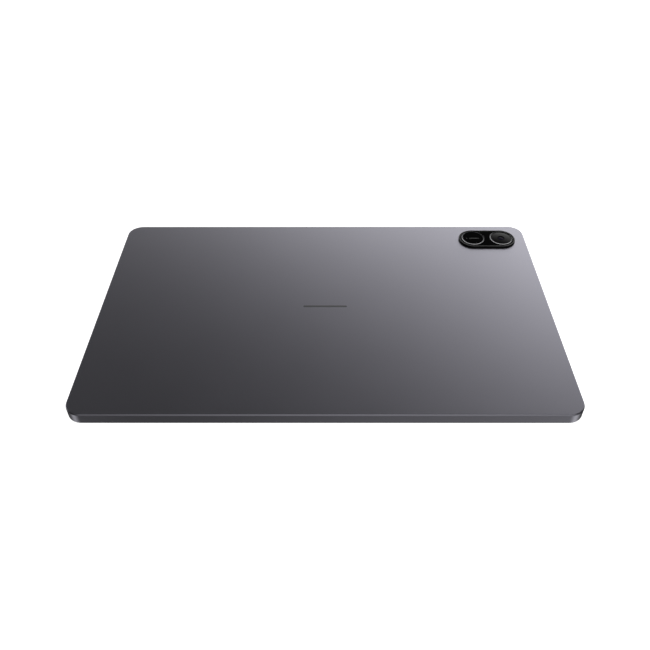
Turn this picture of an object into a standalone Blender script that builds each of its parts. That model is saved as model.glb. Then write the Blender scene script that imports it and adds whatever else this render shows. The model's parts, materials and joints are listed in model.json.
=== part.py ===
"""Tablet computer, 11.5 inch class, lying on its screen with the metal back up.

Units are metres and +Z is up. The origin is the centre of the screen's outer face. X runs along the long
side and Y along the short side. The rear camera is in the +X +Y corner, the power key, the card tray and
two loudspeakers are on the +X side, the volume rocker on the +Y side and the USB port on the -X side.
"""

from math import cos, hypot, pi, radians, sin

import bmesh
import bpy

MM = 0.001

# Body
LENGTH = 267.3 * MM
WIDTH = 167.4 * MM
THICKNESS = 6.9 * MM
CORNER_R = 9.0 * MM
EDGE_CHAMFER = 0.7 * MM  # bright chamfer around the back
SIDE_WALL = 1.5 * MM
REAR_WALL = 0.8 * MM
RIM_Z = 0.45 * MM  # lower edge of the metal rim; the glass stands proud of it
RIM_CHAMFER = 0.2 * MM
LIP = 0.62 * MM  # thickness of the rim around the display frame
LEDGE_Z = 1.8 * MM  # the display frame is bonded against this ledge
CAVITY_TOP = THICKNESS - REAR_WALL
CORNER_STEPS = 9

# Display stack, counted up from the glass
FRAME_INSET = LIP + 0.10 * MM
GLASS_INSET = 1.05 * MM
GLASS_T = 0.70 * MM
SCREEN_LENGTH = 250.5 * MM  # lit area of an 11.5 inch, 5:3 screen
SCREEN_WIDTH = 150.3 * MM
PANEL_MARGIN = 2.05 * MM
BACKLIGHT_MARGIN = 1.75 * MM
PLATE_MARGIN = 0.5 * MM
FRAME_WINDOW_MARGIN = 2.75 * MM
FRONT_CAMERA_Y = 79.8 * MM
DISPLAY_FLEX_X = 85.0 * MM
DISPLAY_FLEX_WIDTH = 14.0 * MM

# Height at which everything in the side walls is centred
SIDE_Z = 3.5 * MM

# Rear camera
BUMP_HEIGHT = 1.15 * MM
BUMP_X, BUMP_Y = 107.9 * MM, 68.1 * MM
BUMP_R = 9.3 * MM  # end radius of the stadium outline
LENS_PITCH = 18.8 * MM
LENS_RING_R = 7.5 * MM
RING_STEPS = 36
MAIN_LENS_X = BUMP_X + LENS_PITCH / 2
SECOND_LENS_X = BUMP_X - LENS_PITCH / 2

# Side keys
KEY_HEIGHT = 2.4 * MM
KEY_PROUD = 0.40 * MM
KEY_GAP = 0.12 * MM
FLANGE_HEIGHT = 3.1 * MM
FLANGE_T = 0.5 * MM
POWER_Y = 50.0 * MM
POWER_LENGTH = 15.0 * MM
VOLUME_X = 84.0 * MM
VOLUME_LENGTH = 24.0 * MM
SWITCH_OFFSET = 8.0 * MM  # each volume switch from the rocker's middle

# Card tray and its ejector
TRAY_Y = 0.0
TRAY_FACE_LENGTH = 15.4 * MM
TRAY_FACE_HEIGHT = 2.2 * MM
TRAY_LENGTH = 21.5 * MM
EJECT_Y = TRAY_Y - 6.1 * MM
LEVER_PIVOT_Y = TRAY_Y + 0.6 * MM
LEVER_X = 108.4 * MM

# Boards and cells
BOARD_Z0, BOARD_Z1 = 5.1 * MM, 5.8 * MM
BOARD_SCREWS = [(69 * MM, -62 * MM), (111 * MM, -62 * MM), (69 * MM, 76 * MM), (111 * MM, 52 * MM)]
USB_SCREWS = [(-112 * MM, -13 * MM), (-112 * MM, 20 * MM)]
SCREW_HOLE_R = 0.85 * MM
CONNECTOR_T = 0.55 * MM
FLEX_T = 0.15 * MM
BATTERY_X = -23.0 * MM
CELL_LENGTH, CELL_WIDTH = 80.0 * MM, 104.0 * MM
CELL_GAP = 2.0 * MM
CELL_Z0, CELL_Z1 = 3.15 * MM, 5.65 * MM
MAIN_FLEX_Y = 8.0 * MM
MAIN_FLEX_WIDTH = 11.0 * MM

# Openings in the side walls
SPEAKER_Y_RIGHT = (29.0 * MM, -50.0 * MM)
SPEAKER_Y_LEFT = (50.0 * MM, -50.0 * MM)
GRILLE_SLOTS = 6
GRILLE_PITCH = 3.0 * MM
GRILLE_SLOT = 1.9 * MM
GRILLE_HEIGHT = 1.1 * MM
GRILLE_Z = 3.6 * MM
USB_WIDTH, USB_HEIGHT = 8.34 * MM, 2.56 * MM
USB_SHELL_T = 0.3 * MM
USB_DEPTH = 6.1 * MM
USB_Z = 3.42 * MM
MIC_TOP_X = 50.0 * MM
MIC_SIDE_Y = 17.0 * MM


# ---------------------------------------------------------------- scene and materials


def clear_scene():
    for obj in list(bpy.data.objects):
        bpy.data.objects.remove(obj)


def material(name, colour, roughness, metallic=0.0):
    found = bpy.data.materials.get(name)
    if found:
        return found
    made = bpy.data.materials.new(name)
    made.use_nodes = True
    shader = made.node_tree.nodes["Principled BSDF"]
    shader.inputs["Base Color"].default_value = (*colour, 1.0)
    shader.inputs["Roughness"].default_value = roughness
    shader.inputs["Metallic"].default_value = metallic
    return made


def anodised():
    return material("anodised_aluminium", (0.105, 0.104, 0.118), 0.38, 1.0)


def black_glass():
    return material("black_glass", (0.004, 0.004, 0.005), 0.05)


def black_plastic():
    return material("black_plastic", (0.02, 0.02, 0.022), 0.5)


def black_metal():
    return material("black_metal", (0.012, 0.012, 0.014), 0.3, 0.9)


def ring_metal():
    return material("ring_metal", (0.06, 0.06, 0.062), 0.25, 1.0)


def steel():
    return material("steel", (0.55, 0.55, 0.56), 0.35, 1.0)


def aluminium_sheet():
    return material("aluminium_sheet", (0.5, 0.5, 0.51), 0.4, 1.0)


def panel():
    return material("display_cell", (0.01, 0.01, 0.012), 0.15)


def reflector():
    return material("backlight_reflector", (0.8, 0.8, 0.8), 0.4)


def board_green():
    return material("circuit_board", (0.008, 0.05, 0.03), 0.45)


def chip_black():
    return material("chip_package", (0.015, 0.015, 0.015), 0.6)


def pouch():
    return material("battery_pouch", (0.05, 0.05, 0.055), 0.45)


def polyimide():
    return material("polyimide_flex", (0.32, 0.13, 0.015), 0.4)


def graphite():
    return material("graphite", (0.03, 0.03, 0.032), 0.55)


def adhesive():
    return material("black_foam", (0.03, 0.03, 0.03), 0.9)


# ---------------------------------------------------------------- outlines


def rounded_rect(length, width, radius, steps=CORNER_STEPS, centre=(0.0, 0.0)):
    """Counter-clockwise outline with each corner an arc of so many steps."""
    points = []
    for quarter, (sx, sy) in enumerate(((1, 1), (-1, 1), (-1, -1), (1, -1))):
        cx = centre[0] + sx * (length / 2 - radius)
        cy = centre[1] + sy * (width / 2 - radius)
        for step in range(steps + 1):
            angle = pi / 2 * (quarter + step / steps)
            points.append((cx + radius * cos(angle), cy + radius * sin(angle)))
    return points


def body_outline(inset):
    return rounded_rect(LENGTH - 2 * inset, WIDTH - 2 * inset, CORNER_R - inset)


def stadium(length, width, steps=8, centre=(0.0, 0.0)):
    """Straight sides with a half circle on each end, long along the first axis."""
    radius = width / 2
    points = []
    for side, sign in ((0, 1), (1, -1)):
        for step in range(2 * steps + 1):
            angle = pi * (side - 0.5 + step / (2 * steps))
            points.append(
                (
                    centre[0] + sign * (length / 2 - radius) + radius * cos(angle),
                    centre[1] + radius * sin(angle),
                )
            )
    return points


def circle(radius, steps=24, centre=(0.0, 0.0)):
    return [
        (
            centre[0] + radius * cos(2 * pi * k / steps),
            centre[1] + radius * sin(2 * pi * k / steps),
        )
        for k in range(steps)
    ]


def ribbon(points, thickness):
    """Outline of a strip of one thickness that follows an open line."""
    left, right = [], []
    for k, (x, y) in enumerate(points):
        x0, y0 = points[max(k - 1, 0)]
        x1, y1 = points[min(k + 1, len(points) - 1)]
        long = hypot(x1 - x0, y1 - y0)
        nx, ny = -(y1 - y0) / long, (x1 - x0) / long
        left.append((x + nx * thickness / 2, y + ny * thickness / 2))
        right.append((x - nx * thickness / 2, y - ny * thickness / 2))
    return left + right[::-1]


# ---------------------------------------------------------------- solids

AXES = {
    "Z": lambda u, v, w: (u, v, w),
    "X": lambda u, v, w: (w, u, v),
    "Y": lambda u, v, w: (u, w, v),
}


def finish_mesh(name, mesh_data, paint, origin=(0.0, 0.0, 0.0), smooth_angle=30):
    bmesh.ops.recalc_face_normals(mesh_data, faces=mesh_data.faces)
    bmesh.ops.translate(mesh_data, verts=mesh_data.verts, vec=[-c for c in origin])
    mesh = bpy.data.meshes.new(name)
    mesh_data.to_mesh(mesh)
    mesh_data.free()
    mesh.shade_smooth()
    mesh.set_sharp_from_angle(angle=radians(smooth_angle))
    mesh.materials.append(paint)
    obj = bpy.data.objects.new(name, mesh)
    obj.location = origin
    bpy.context.scene.collection.objects.link(obj)
    return obj


def loft(name, rings, paint, axis="Z", closed=False, origin=(0.0, 0.0, 0.0)):
    """Skins a list of (outline, height) rings that all have the same number of points.

    An open loft is capped at both ends. A closed one joins its last ring to its first, as a frame does.
    """
    place = AXES[axis]
    shape = bmesh.new()
    rows = [
        [shape.verts.new(place(u, v, height)) for u, v in outline]
        for outline, height in rings
    ]
    pairs = list(zip(rows, rows[1:] + rows[:1])) if closed else list(zip(rows, rows[1:]))
    for lower, upper in pairs:
        for k in range(len(lower)):
            after = (k + 1) % len(lower)
            shape.faces.new((lower[k], lower[after], upper[after], upper[k]))
    if not closed:
        shape.faces.new(rows[0])
        shape.faces.new(rows[-1])
    return finish_mesh(name, shape, paint, origin)


def prism(name, outline, low, high, paint, axis="Z", origin=(0.0, 0.0, 0.0)):
    return loft(name, [(outline, low), (outline, high)], paint, axis, origin=origin)


def frame(name, outer, inner, low, high, paint, axis="Z"):
    """A flat ring between two outlines with the same number of points."""
    rings = [(outer, low), (outer, high), (inner, high), (inner, low)]
    return loft(name, rings, paint, axis, closed=True)


def block(name, low, high, paint, origin=(0.0, 0.0, 0.0)):
    (x0, y0, z0), (x1, y1, z1) = low, high
    return prism(name, [(x0, y0), (x1, y0), (x1, y1), (x0, y1)], z0, z1, paint, origin=origin)


def helper(obj):
    """Marks an object as a tool for a Boolean and not a part."""
    obj.hide_render = True
    obj.display_type = "WIRE"
    return obj


def boolean(target, operation, tools):
    for number, tool in enumerate(tools):
        helper(tool)
        step = target.modifiers.new(f"{operation.lower()}_{number}", "BOOLEAN")
        step.operation = operation
        step.object = tool


def cut(target, *tools):
    boolean(target, "DIFFERENCE", tools)


def join(target, *tools):
    boolean(target, "UNION", tools)


# ---------------------------------------------------------------- housing


def side_slot(name, y, length, height, sign=1, z=SIDE_Z):
    """Cutter for a stadium opening through a short side wall."""
    low, high = sorted((sign * (LENGTH / 2 - 2.2 * MM), sign * (LENGTH / 2 + 1 * MM)))
    outline = stadium(length, height, steps=3, centre=(y, z))
    return prism(name, outline, low, high, black_plastic(), axis="X")


def top_slot(name, x, length, height, z=SIDE_Z):
    """Cutter for a stadium opening through the +Y long side wall."""
    outline = stadium(length, height, steps=3, centre=(x, z))
    return prism(name, outline, WIDTH / 2 - 2.2 * MM, WIDTH / 2 + 1 * MM, black_plastic(), axis="Y")


def battery_end(sign):
    """X of the outer end of the outer cell on one side."""
    return BATTERY_X + sign * (CELL_LENGTH + CELL_GAP / 2)


def rear_housing():
    rings = [
        (body_outline(EDGE_CHAMFER), THICKNESS),
        (body_outline(EDGE_CHAMFER * 0.3), THICKNESS - EDGE_CHAMFER * 0.45),
        (body_outline(0.0), THICKNESS - EDGE_CHAMFER),
        (body_outline(0.0), RIM_Z + RIM_CHAMFER),
        (body_outline(RIM_CHAMFER), RIM_Z),
        (body_outline(LIP), RIM_Z),
        (body_outline(LIP), LEDGE_Z),
        (body_outline(SIDE_WALL), LEDGE_Z),
        (body_outline(SIDE_WALL), CAVITY_TOP),
    ]
    housing = loft("rear_housing", rings, anodised())

    rib_low = CAVITY_TOP - 0.7 * MM
    rib_reach = CELL_WIDTH / 2 + 1.2 * MM
    gap = MAIN_FLEX_WIDTH / 2 + 1 * MM
    ribs = [
        block(
            f"housing_rib_{side}_{half}",
            (x - 0.5 * MM, y0, rib_low),
            (x + 0.5 * MM, y1, CAVITY_TOP + 0.2 * MM),
            anodised(),
        )
        for side, x in enumerate((battery_end(-1) - 1.4 * MM, battery_end(1) + 2.4 * MM))
        for half, (y0, y1) in enumerate(
            ((-rib_reach, MAIN_FLEX_Y - gap), (MAIN_FLEX_Y + gap, rib_reach))
        )
    ]
    bosses = [
        prism(
            f"housing_boss_{k}",
            circle(1.9 * MM, 12, spot),
            BOARD_Z1 + 0.05 * MM,
            CAVITY_TOP + 0.2 * MM,
            anodised(),
        )
        for k, spot in enumerate(BOARD_SCREWS + USB_SCREWS)
    ]
    join(housing, *ribs, *bosses)

    cutters = [
        prism(
            "camera_cutout",
            stadium(2 * BUMP_R + LENS_PITCH - 0.7 * MM, 2 * BUMP_R - 0.7 * MM, 8, (BUMP_X, BUMP_Y)),
            CAVITY_TOP - 0.5 * MM,
            THICKNESS + 0.5 * MM,
            black_plastic(),
        ),
        side_slot("power_slot", POWER_Y, POWER_LENGTH + 2 * KEY_GAP, KEY_HEIGHT + 2 * KEY_GAP),
        side_slot("tray_slot", TRAY_Y, TRAY_FACE_LENGTH + 0.2 * MM, TRAY_FACE_HEIGHT + 0.2 * MM),
        side_slot("usb_slot", 0.0, USB_WIDTH + 0.9 * MM, USB_HEIGHT + 0.9 * MM, -1, USB_Z),
        side_slot("mic_side_hole", MIC_SIDE_Y, 1.0 * MM, 0.99 * MM, sign=-1),
        top_slot("volume_slot", VOLUME_X, VOLUME_LENGTH + 4 * KEY_GAP, KEY_HEIGHT + 2 * KEY_GAP),
        top_slot("mic_top_hole", MIC_TOP_X, 1.0 * MM, 0.99 * MM),
    ]
    for sign, centres in ((1, SPEAKER_Y_RIGHT), (-1, SPEAKER_Y_LEFT)):
        for centre in centres:
            for k in range(GRILLE_SLOTS):
                y = centre + (k - (GRILLE_SLOTS - 1) / 2) * GRILLE_PITCH
                cutters.append(
                    side_slot(f"grille_{len(cutters)}", y, GRILLE_SLOT, GRILLE_HEIGHT, sign, GRILLE_Z)
                )
    for k, spot in enumerate(BOARD_SCREWS + USB_SCREWS):
        hole = circle(SCREW_HOLE_R, 12, spot)
        cutters.append(
            prism(f"boss_hole_{k}", hole, BOARD_Z1 - 0.3 * MM, CAVITY_TOP + 0.2 * MM, black_plastic())
        )
    cut(housing, *cutters)
    return housing


# ---------------------------------------------------------------- display


def screen_outline(margin, radius=1.5 * MM, steps=4):
    return rounded_rect(SCREEN_LENGTH + 2 * margin, SCREEN_WIDTH + 2 * margin, radius, steps)


def display():
    edge = 0.25 * MM
    loft(
        "cover_glass",
        [
            (body_outline(GLASS_INSET + edge), 0.0),
            (body_outline(GLASS_INSET + 0.07 * MM), 0.10 * MM),
            (body_outline(GLASS_INSET), edge),
            (body_outline(GLASS_INSET), GLASS_T),
        ],
        black_glass(),
    )
    seat_z = GLASS_T + 0.15 * MM
    window = screen_outline(FRAME_WINDOW_MARGIN, steps=CORNER_STEPS)
    recess = body_outline(GLASS_INSET - 0.08 * MM)
    outer = body_outline(FRAME_INSET)
    bezel = loft(
        "bezel_frame",
        [
            (outer, 0.35 * MM),
            (outer, LEDGE_Z - 0.05 * MM),
            (window, LEDGE_Z - 0.05 * MM),
            (window, seat_z),
            (recess, seat_z),
            (recess, 0.35 * MM),
        ],
        black_plastic(),
        closed=True,
    )
    cut(
        bezel,
        block(
            "front_camera_window",
            (-3.6 * MM, FRONT_CAMERA_Y - 2.3 * MM, 0.5 * MM),
            (3.6 * MM, FRONT_CAMERA_Y + 2.0 * MM, 3.0 * MM),
            black_plastic(),
        ),
    )
    adhesive_ring = frame(
        "display_adhesive",
        body_outline(GLASS_INSET + 0.4 * MM),
        screen_outline(FRAME_WINDOW_MARGIN + 0.4 * MM, steps=CORNER_STEPS),
        GLASS_T + 0.03 * MM,
        seat_z - 0.03 * MM,
        adhesive(),
    )
    cut(
        adhesive_ring,
        prism(
            "adhesive_camera_hole",
            circle(2.2 * MM, 16, (0.0, FRONT_CAMERA_Y)),
            GLASS_T - 0.3 * MM,
            seat_z + 0.3 * MM,
            black_plastic(),
        ),
    )
    prism("display_panel", screen_outline(PANEL_MARGIN), GLASS_T + 0.03 * MM, 1.38 * MM, panel())
    prism("backlight_unit", screen_outline(BACKLIGHT_MARGIN), 1.43 * MM, 2.45 * MM, reflector())

    plate = prism("support_plate", screen_outline(PLATE_MARGIN), 2.70 * MM, 3.00 * MM, aluminium_sheet())
    reach = DISPLAY_FLEX_WIDTH / 2 + 2 * MM
    cut(
        plate,
        block(
            "plate_flex_slot",
            (DISPLAY_FLEX_X - reach, -69 * MM, 2.4 * MM),
            (DISPLAY_FLEX_X + reach, -61 * MM, 3.3 * MM),
            steel(),
        ),
        *[
            prism(f"plate_hole_{k}", circle(2.5 * MM, 12, (x, y)), 2.4 * MM, 3.3 * MM, steel())
            for k, (x, y) in enumerate(((-115 * MM, 0.0), (-115 * MM, 68 * MM), (61 * MM, 68 * MM)))
        ],
    )


def front_camera():
    body = block(
        "front_camera",
        (-3.2 * MM, FRONT_CAMERA_Y - 1.95 * MM, 1.45 * MM),
        (3.2 * MM, FRONT_CAMERA_Y + 1.6 * MM, 4.6 * MM),
        chip_black(),
    )
    barrel = prism(
        "front_camera_barrel",
        circle(1.5 * MM, 16, (0.0, FRONT_CAMERA_Y)),
        GLASS_T + 0.05 * MM,
        1.9 * MM,
        chip_black(),
    )
    join(body, barrel)


# ---------------------------------------------------------------- rear camera


def bump_outline(inset, steps=9):
    width = 2 * (BUMP_R - inset)
    return stadium(LENS_PITCH + width, width, steps, (BUMP_X, BUMP_Y))


def rear_camera():
    top = THICKNESS + BUMP_HEIGHT
    floor = THICKNESS + 0.35 * MM
    plinth = loft(
        "camera_plinth",
        [
            (bump_outline(-1.2 * MM), CAVITY_TOP - 0.55 * MM),
            (bump_outline(-1.2 * MM), CAVITY_TOP - 0.05 * MM),
            (bump_outline(0.5 * MM), CAVITY_TOP - 0.05 * MM),
            (bump_outline(0.5 * MM), THICKNESS + 0.05 * MM),
            (bump_outline(0.0), THICKNESS + 0.05 * MM),
            (bump_outline(0.08 * MM), THICKNESS + 0.50 * MM),
            (bump_outline(0.40 * MM), top - 0.12 * MM),
            (bump_outline(0.65 * MM), top),
            (bump_outline(1.05 * MM), top),
            (bump_outline(1.05 * MM), floor),
        ],
        black_metal(),
    )
    well = prism(
        "plinth_lens_hole",
        circle(4.2 * MM, 24, (MAIN_LENS_X, BUMP_Y)),
        CAVITY_TOP - 1.0 * MM,
        top + 1 * MM,
        black_metal(),
    )
    cut(plinth, well)

    window_low, window_high = floor + 0.05 * MM, top + 0.08 * MM
    window = loft(
        "camera_window",
        [
            (bump_outline(1.13 * MM), window_low),
            (bump_outline(1.13 * MM), window_high - 0.10 * MM),
            (bump_outline(1.23 * MM), window_high),
        ],
        black_glass(),
    )
    ring_holes = [
        prism(
            f"ring_hole_{k}",
            circle(LENS_RING_R + 0.08 * MM, RING_STEPS, (x, BUMP_Y)),
            window_low - 0.5 * MM,
            window_high + 0.5 * MM,
            black_glass(),
        )
        for k, x in enumerate((MAIN_LENS_X, SECOND_LENS_X))
    ]
    cut(window, *ring_holes)

    for label, x in (("main", MAIN_LENS_X), ("second", SECOND_LENS_X)):
        lens_ring(label, x, window_low, window_high)
        loft(
            f"lens_cover_{label}",
            [
                (circle(LENS_RING_R - 0.80 * MM, RING_STEPS, (x, BUMP_Y)), window_low + 0.10 * MM),
                (circle(LENS_RING_R - 0.80 * MM, RING_STEPS, (x, BUMP_Y)), window_high - 0.16 * MM),
                (circle(LENS_RING_R - 0.86 * MM, RING_STEPS, (x, BUMP_Y)), window_high - 0.10 * MM),
            ],
            black_glass(),
        )
    camera_module()


def lens_ring(label, x, low, high):
    """Turned metal ring with a bevelled inner lip."""

    def at(radius):
        return circle(radius, RING_STEPS, (x, BUMP_Y))

    loft(
        f"lens_ring_{label}",
        [
            (at(LENS_RING_R), low),
            (at(LENS_RING_R), high + 0.10 * MM),
            (at(LENS_RING_R - 0.12 * MM), high + 0.22 * MM),
            (at(LENS_RING_R - 0.30 * MM), high + 0.22 * MM),
            (at(LENS_RING_R - 0.72 * MM), high - 0.05 * MM),
            (at(LENS_RING_R - 0.72 * MM), low + 0.02 * MM),
            (at(LENS_RING_R - 0.5 * MM), low),
        ],
        ring_metal(),
        closed=True,
    )


def flex_z():
    """Height of a flexible circuit where it is plugged onto a board's connector."""
    return BOARD_Z0 - CONNECTOR_T - 0.1 * MM - FLEX_T / 2


def camera_module():
    half = 4.3 * MM
    sensor = block(
        "camera_sensor_module",
        (MAIN_LENS_X - half, BUMP_Y - half, 3.15 * MM),
        (MAIN_LENS_X + half, BUMP_Y + half, 5.35 * MM),
        chip_black(),
    )
    tail_z = flex_z()
    tail = block(
        "camera_sensor_tail",
        (77.0 * MM, BUMP_Y - 3 * MM, tail_z - FLEX_T / 2),
        (MAIN_LENS_X - half + 0.5 * MM, BUMP_Y + 3 * MM, tail_z + FLEX_T / 2),
        chip_black(),
    )
    join(sensor, tail)

    def at(radius):
        return circle(radius, 24, (MAIN_LENS_X, BUMP_Y))

    loft(
        "camera_lens_barrel",
        [
            (at(3.6 * MM), 5.40 * MM),
            (at(3.6 * MM), 6.55 * MM),
            (at(3.1 * MM), 6.65 * MM),
            (at(3.1 * MM), 7.18 * MM),
            (at(1.7 * MM), 7.18 * MM),
            (at(1.2 * MM), 6.85 * MM),
        ],
        black_plastic(),
    )


# ---------------------------------------------------------------- side keys


def power_key():
    """Sliding key on the +X side: cap, inner flange and a nub over the switch, in one moulding."""
    face = LENGTH / 2
    stop = face - SIDE_WALL - 0.10 * MM
    outer = stadium(POWER_LENGTH, KEY_HEIGHT, 6, (POWER_Y, SIDE_Z))
    crown = stadium(POWER_LENGTH - 0.3 * MM, KEY_HEIGHT - 0.3 * MM, 6, (POWER_Y, SIDE_Z))
    wide = stadium(POWER_LENGTH + 2.4 * MM, FLANGE_HEIGHT, 6, (POWER_Y, SIDE_Z))
    nub = stadium(2.4 * MM, 1.6 * MM, 6, (POWER_Y, SIDE_Z))
    loft(
        "power_key",
        [
            (nub, stop - FLANGE_T - 0.5 * MM),
            (nub, stop - FLANGE_T),
            (wide, stop - FLANGE_T),
            (wide, stop),
            (outer, stop),
            (outer, face + KEY_PROUD - 0.15 * MM),
            (crown, face + KEY_PROUD),
        ],
        anodised(),
        axis="X",
        origin=(face, POWER_Y, SIDE_Z),
    )
    switch_x = stop - FLANGE_T - 0.5 * MM - 0.30 * MM
    switch("power_key_switch", (POWER_Y, SIDE_Z), switch_x, "X")
    bracket = block(
        "power_key_bracket",
        (switch_x - 1.55 * MM, POWER_Y - 7.5 * MM, 2.2 * MM),
        (switch_x - 1.25 * MM, POWER_Y + 7.5 * MM, 4.9 * MM),
        steel(),
    )
    foot = block(
        "power_bracket_foot",
        (switch_x - 3.6 * MM, POWER_Y - 5.0 * MM, 4.6 * MM),
        (switch_x - 1.4 * MM, POWER_Y + 5.0 * MM, 4.9 * MM),
        steel(),
    )
    join(bracket, foot)
    return switch_x


def switch(name, centre, face, axis):
    """Dome switch: a moulded base with a round dome that faces the key."""
    u, v = centre
    base = rounded_rect(3.6 * MM, 2.4 * MM, 0.3 * MM, 2, (u, v))
    case = prism(name, base, face - 0.80 * MM, face - 0.25 * MM, chip_black(), axis)
    dome = loft(
        f"{name}_dome",
        [
            (circle(0.8 * MM, 12, (u, v)), face - 0.5 * MM),
            (circle(0.8 * MM, 12, (u, v)), face - 0.10 * MM),
            (circle(0.5 * MM, 12, (u, v)), face),
        ],
        steel(),
        axis,
    )
    join(case, dome)


def volume_rocker():
    """Rocking key on the +Y side. It tilts about the vertical line through its middle rib."""
    face = WIDTH / 2
    stop = face - SIDE_WALL - 0.45 * MM
    outer = stadium(VOLUME_LENGTH, KEY_HEIGHT, 6, (VOLUME_X, SIDE_Z))
    crown = stadium(VOLUME_LENGTH - 0.3 * MM, KEY_HEIGHT - 0.3 * MM, 6, (VOLUME_X, SIDE_Z))
    wide = stadium(VOLUME_LENGTH + 2.0 * MM, FLANGE_HEIGHT, 6, (VOLUME_X, SIDE_Z))
    rocker = loft(
        "volume_rocker",
        [
            (wide, stop - FLANGE_T),
            (wide, stop),
            (outer, stop),
            (outer, face + KEY_PROUD - 0.15 * MM),
            (crown, face + KEY_PROUD),
        ],
        anodised(),
        axis="Y",
        origin=(VOLUME_X, stop - FLANGE_T, SIDE_Z),
    )
    nubs = [
        prism(
            f"rocker_nub_{k}",
            stadium(2.4 * MM, 1.6 * MM, 4, (VOLUME_X + offset, SIDE_Z)),
            stop - FLANGE_T - 0.35 * MM,
            stop - 0.1 * MM,
            anodised(),
            axis="Y",
        )
        for k, offset in enumerate((-SWITCH_OFFSET, SWITCH_OFFSET))
    ]
    join(rocker, *nubs)
    switch_y = stop - FLANGE_T - 0.35 * MM - 0.30 * MM
    switch("volume_up_switch", (VOLUME_X + SWITCH_OFFSET, SIDE_Z), switch_y, "Y")
    switch("volume_down_switch", (VOLUME_X - SWITCH_OFFSET, SIDE_Z), switch_y, "Y")
    block(
        "volume_key_bracket",
        (VOLUME_X - 12 * MM, switch_y - 1.50 * MM, 2.2 * MM),
        (VOLUME_X + 12 * MM, switch_y - 1.20 * MM, 4.9 * MM),
        steel(),
    )
    return switch_y


def side_key_flex(power_switch_x, volume_switch_y):
    """Flexible circuit on edge, behind the power switch, round the corner and behind the volume switches."""
    x = power_switch_x - 1.02 * MM
    y = volume_switch_y - 1.00 * MM
    bend = 5.0 * MM
    line = [(x, POWER_Y - 6 * MM), (x, y - bend)]
    for step in range(1, 7):
        angle = pi / 2 * step / 6
        line.append((x - bend + bend * cos(angle), y - bend + bend * sin(angle)))
    line.append((VOLUME_X - 11 * MM, y))
    prism("side_key_flex", ribbon(line, FLEX_T), 2.4 * MM, 4.7 * MM, polyimide())


# ---------------------------------------------------------------- card tray and ejector


def card_tray():
    """Tray for one small card: the face closes the wall's slot, with the eject hole at its -Y end."""
    face = LENGTH / 2
    back = face - 1.25 * MM
    closing = prism(
        "card_tray",
        stadium(TRAY_FACE_LENGTH, TRAY_FACE_HEIGHT, 6, (TRAY_Y, SIDE_Z)),
        back,
        face,
        anodised(),
        axis="X",
        origin=(face, TRAY_Y, SIDE_Z),
    )
    inner = face - TRAY_LENGTH
    arm_y0, arm_y1 = TRAY_Y - 4.9 * MM, TRAY_Y + 6.9 * MM
    bed = block(
        "tray_bed",
        (inner, arm_y0, 3.50 * MM),
        (back + 0.3 * MM, arm_y1, 4.40 * MM),
        anodised(),
    )
    join(closing, bed)
    card_length, card_width = 12.6 * MM, 9.1 * MM
    middle = (inner + 1.0 * MM + card_length / 2, TRAY_Y + 1.0 * MM)
    recess = prism(
        "tray_card_recess",
        rounded_rect(card_length, card_width, 0.8 * MM, 3, middle),
        3.2 * MM,
        4.15 * MM,
        anodised(),
    )
    relief = prism(
        "tray_card_relief",
        rounded_rect(8.0 * MM, 5.5 * MM, 0.8 * MM, 3, middle),
        3.2 * MM,
        4.9 * MM,
        anodised(),
    )
    hole = prism(
        "tray_eject_hole",
        circle(0.5 * MM, 12, (EJECT_Y, SIDE_Z)),
        back - 1 * MM,
        face + 1 * MM,
        anodised(),
        axis="X",
    )
    cut(closing, recess, relief, hole)
    return inner


def card_socket(tray_end):
    """Sheet-metal cage on the main board, open towards the slot and at its inner end."""
    x0, x1 = tray_end - 0.2 * MM, LENGTH / 2 - SIDE_WALL - 1.0 * MM
    y0, y1 = TRAY_Y - 5.35 * MM, TRAY_Y + 7.35 * MM
    cage = block("card_socket", (x0, y0, 3.15 * MM), (x1, y1, 4.95 * MM), steel())
    passage = block(
        "socket_passage",
        (x0 - 1 * MM, y0 + 0.25 * MM, 3.38 * MM),
        (x1 + 1 * MM, y1 - 0.25 * MM, 4.60 * MM),
        steel(),
    )
    cut(cage, passage)


def ejector():
    """Push rod behind the eject hole and the lever that turns its push into the tray's exit."""
    rod_x0 = LEVER_X + 0.75 * MM
    rod_x1 = LENGTH / 2 - 1.25 * MM - 0.25 * MM
    block(
        "eject_rod",
        (rod_x0, EJECT_Y - 0.45 * MM, 3.12 * MM),
        (rod_x1, EJECT_Y + 0.45 * MM, 3.88 * MM),
        steel(),
        origin=(rod_x1, EJECT_Y, SIDE_Z),
    )
    lever = prism(
        "eject_lever",
        stadium(1.3 * MM, 1.29 * MM, 4, (LEVER_X, LEVER_PIVOT_Y)),
        3.25 * MM,
        3.85 * MM,
        steel(),
        origin=(LEVER_X, LEVER_PIVOT_Y, SIDE_Z),
    )
    arm = block(
        "lever_arm",
        (LEVER_X - 0.6 * MM, EJECT_Y - 0.4 * MM, 3.25 * MM),
        (LEVER_X + 0.6 * MM, TRAY_Y + 6.0 * MM, 3.85 * MM),
        steel(),
    )
    boss = prism(
        "lever_boss", circle(1.5 * MM, 16, (LEVER_X, LEVER_PIVOT_Y)), 3.25 * MM, 3.85 * MM, steel()
    )
    join(lever, arm, boss)
    hole = prism(
        "lever_hole", circle(0.65 * MM, 16, (LEVER_X, LEVER_PIVOT_Y)), 3.0 * MM, 4.2 * MM, steel()
    )
    cut(lever, hole)

    def at(radius):
        return circle(radius, 16, (LEVER_X, LEVER_PIVOT_Y))

    loft(
        "eject_pivot",
        [
            (at(1.1 * MM), 3.10 * MM),
            (at(1.1 * MM), 3.20 * MM),
            (at(0.55 * MM), 3.20 * MM),
            (at(0.55 * MM), BOARD_Z0 - 0.05 * MM),
        ],
        steel(),
    )


# ---------------------------------------------------------------- boards


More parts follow.
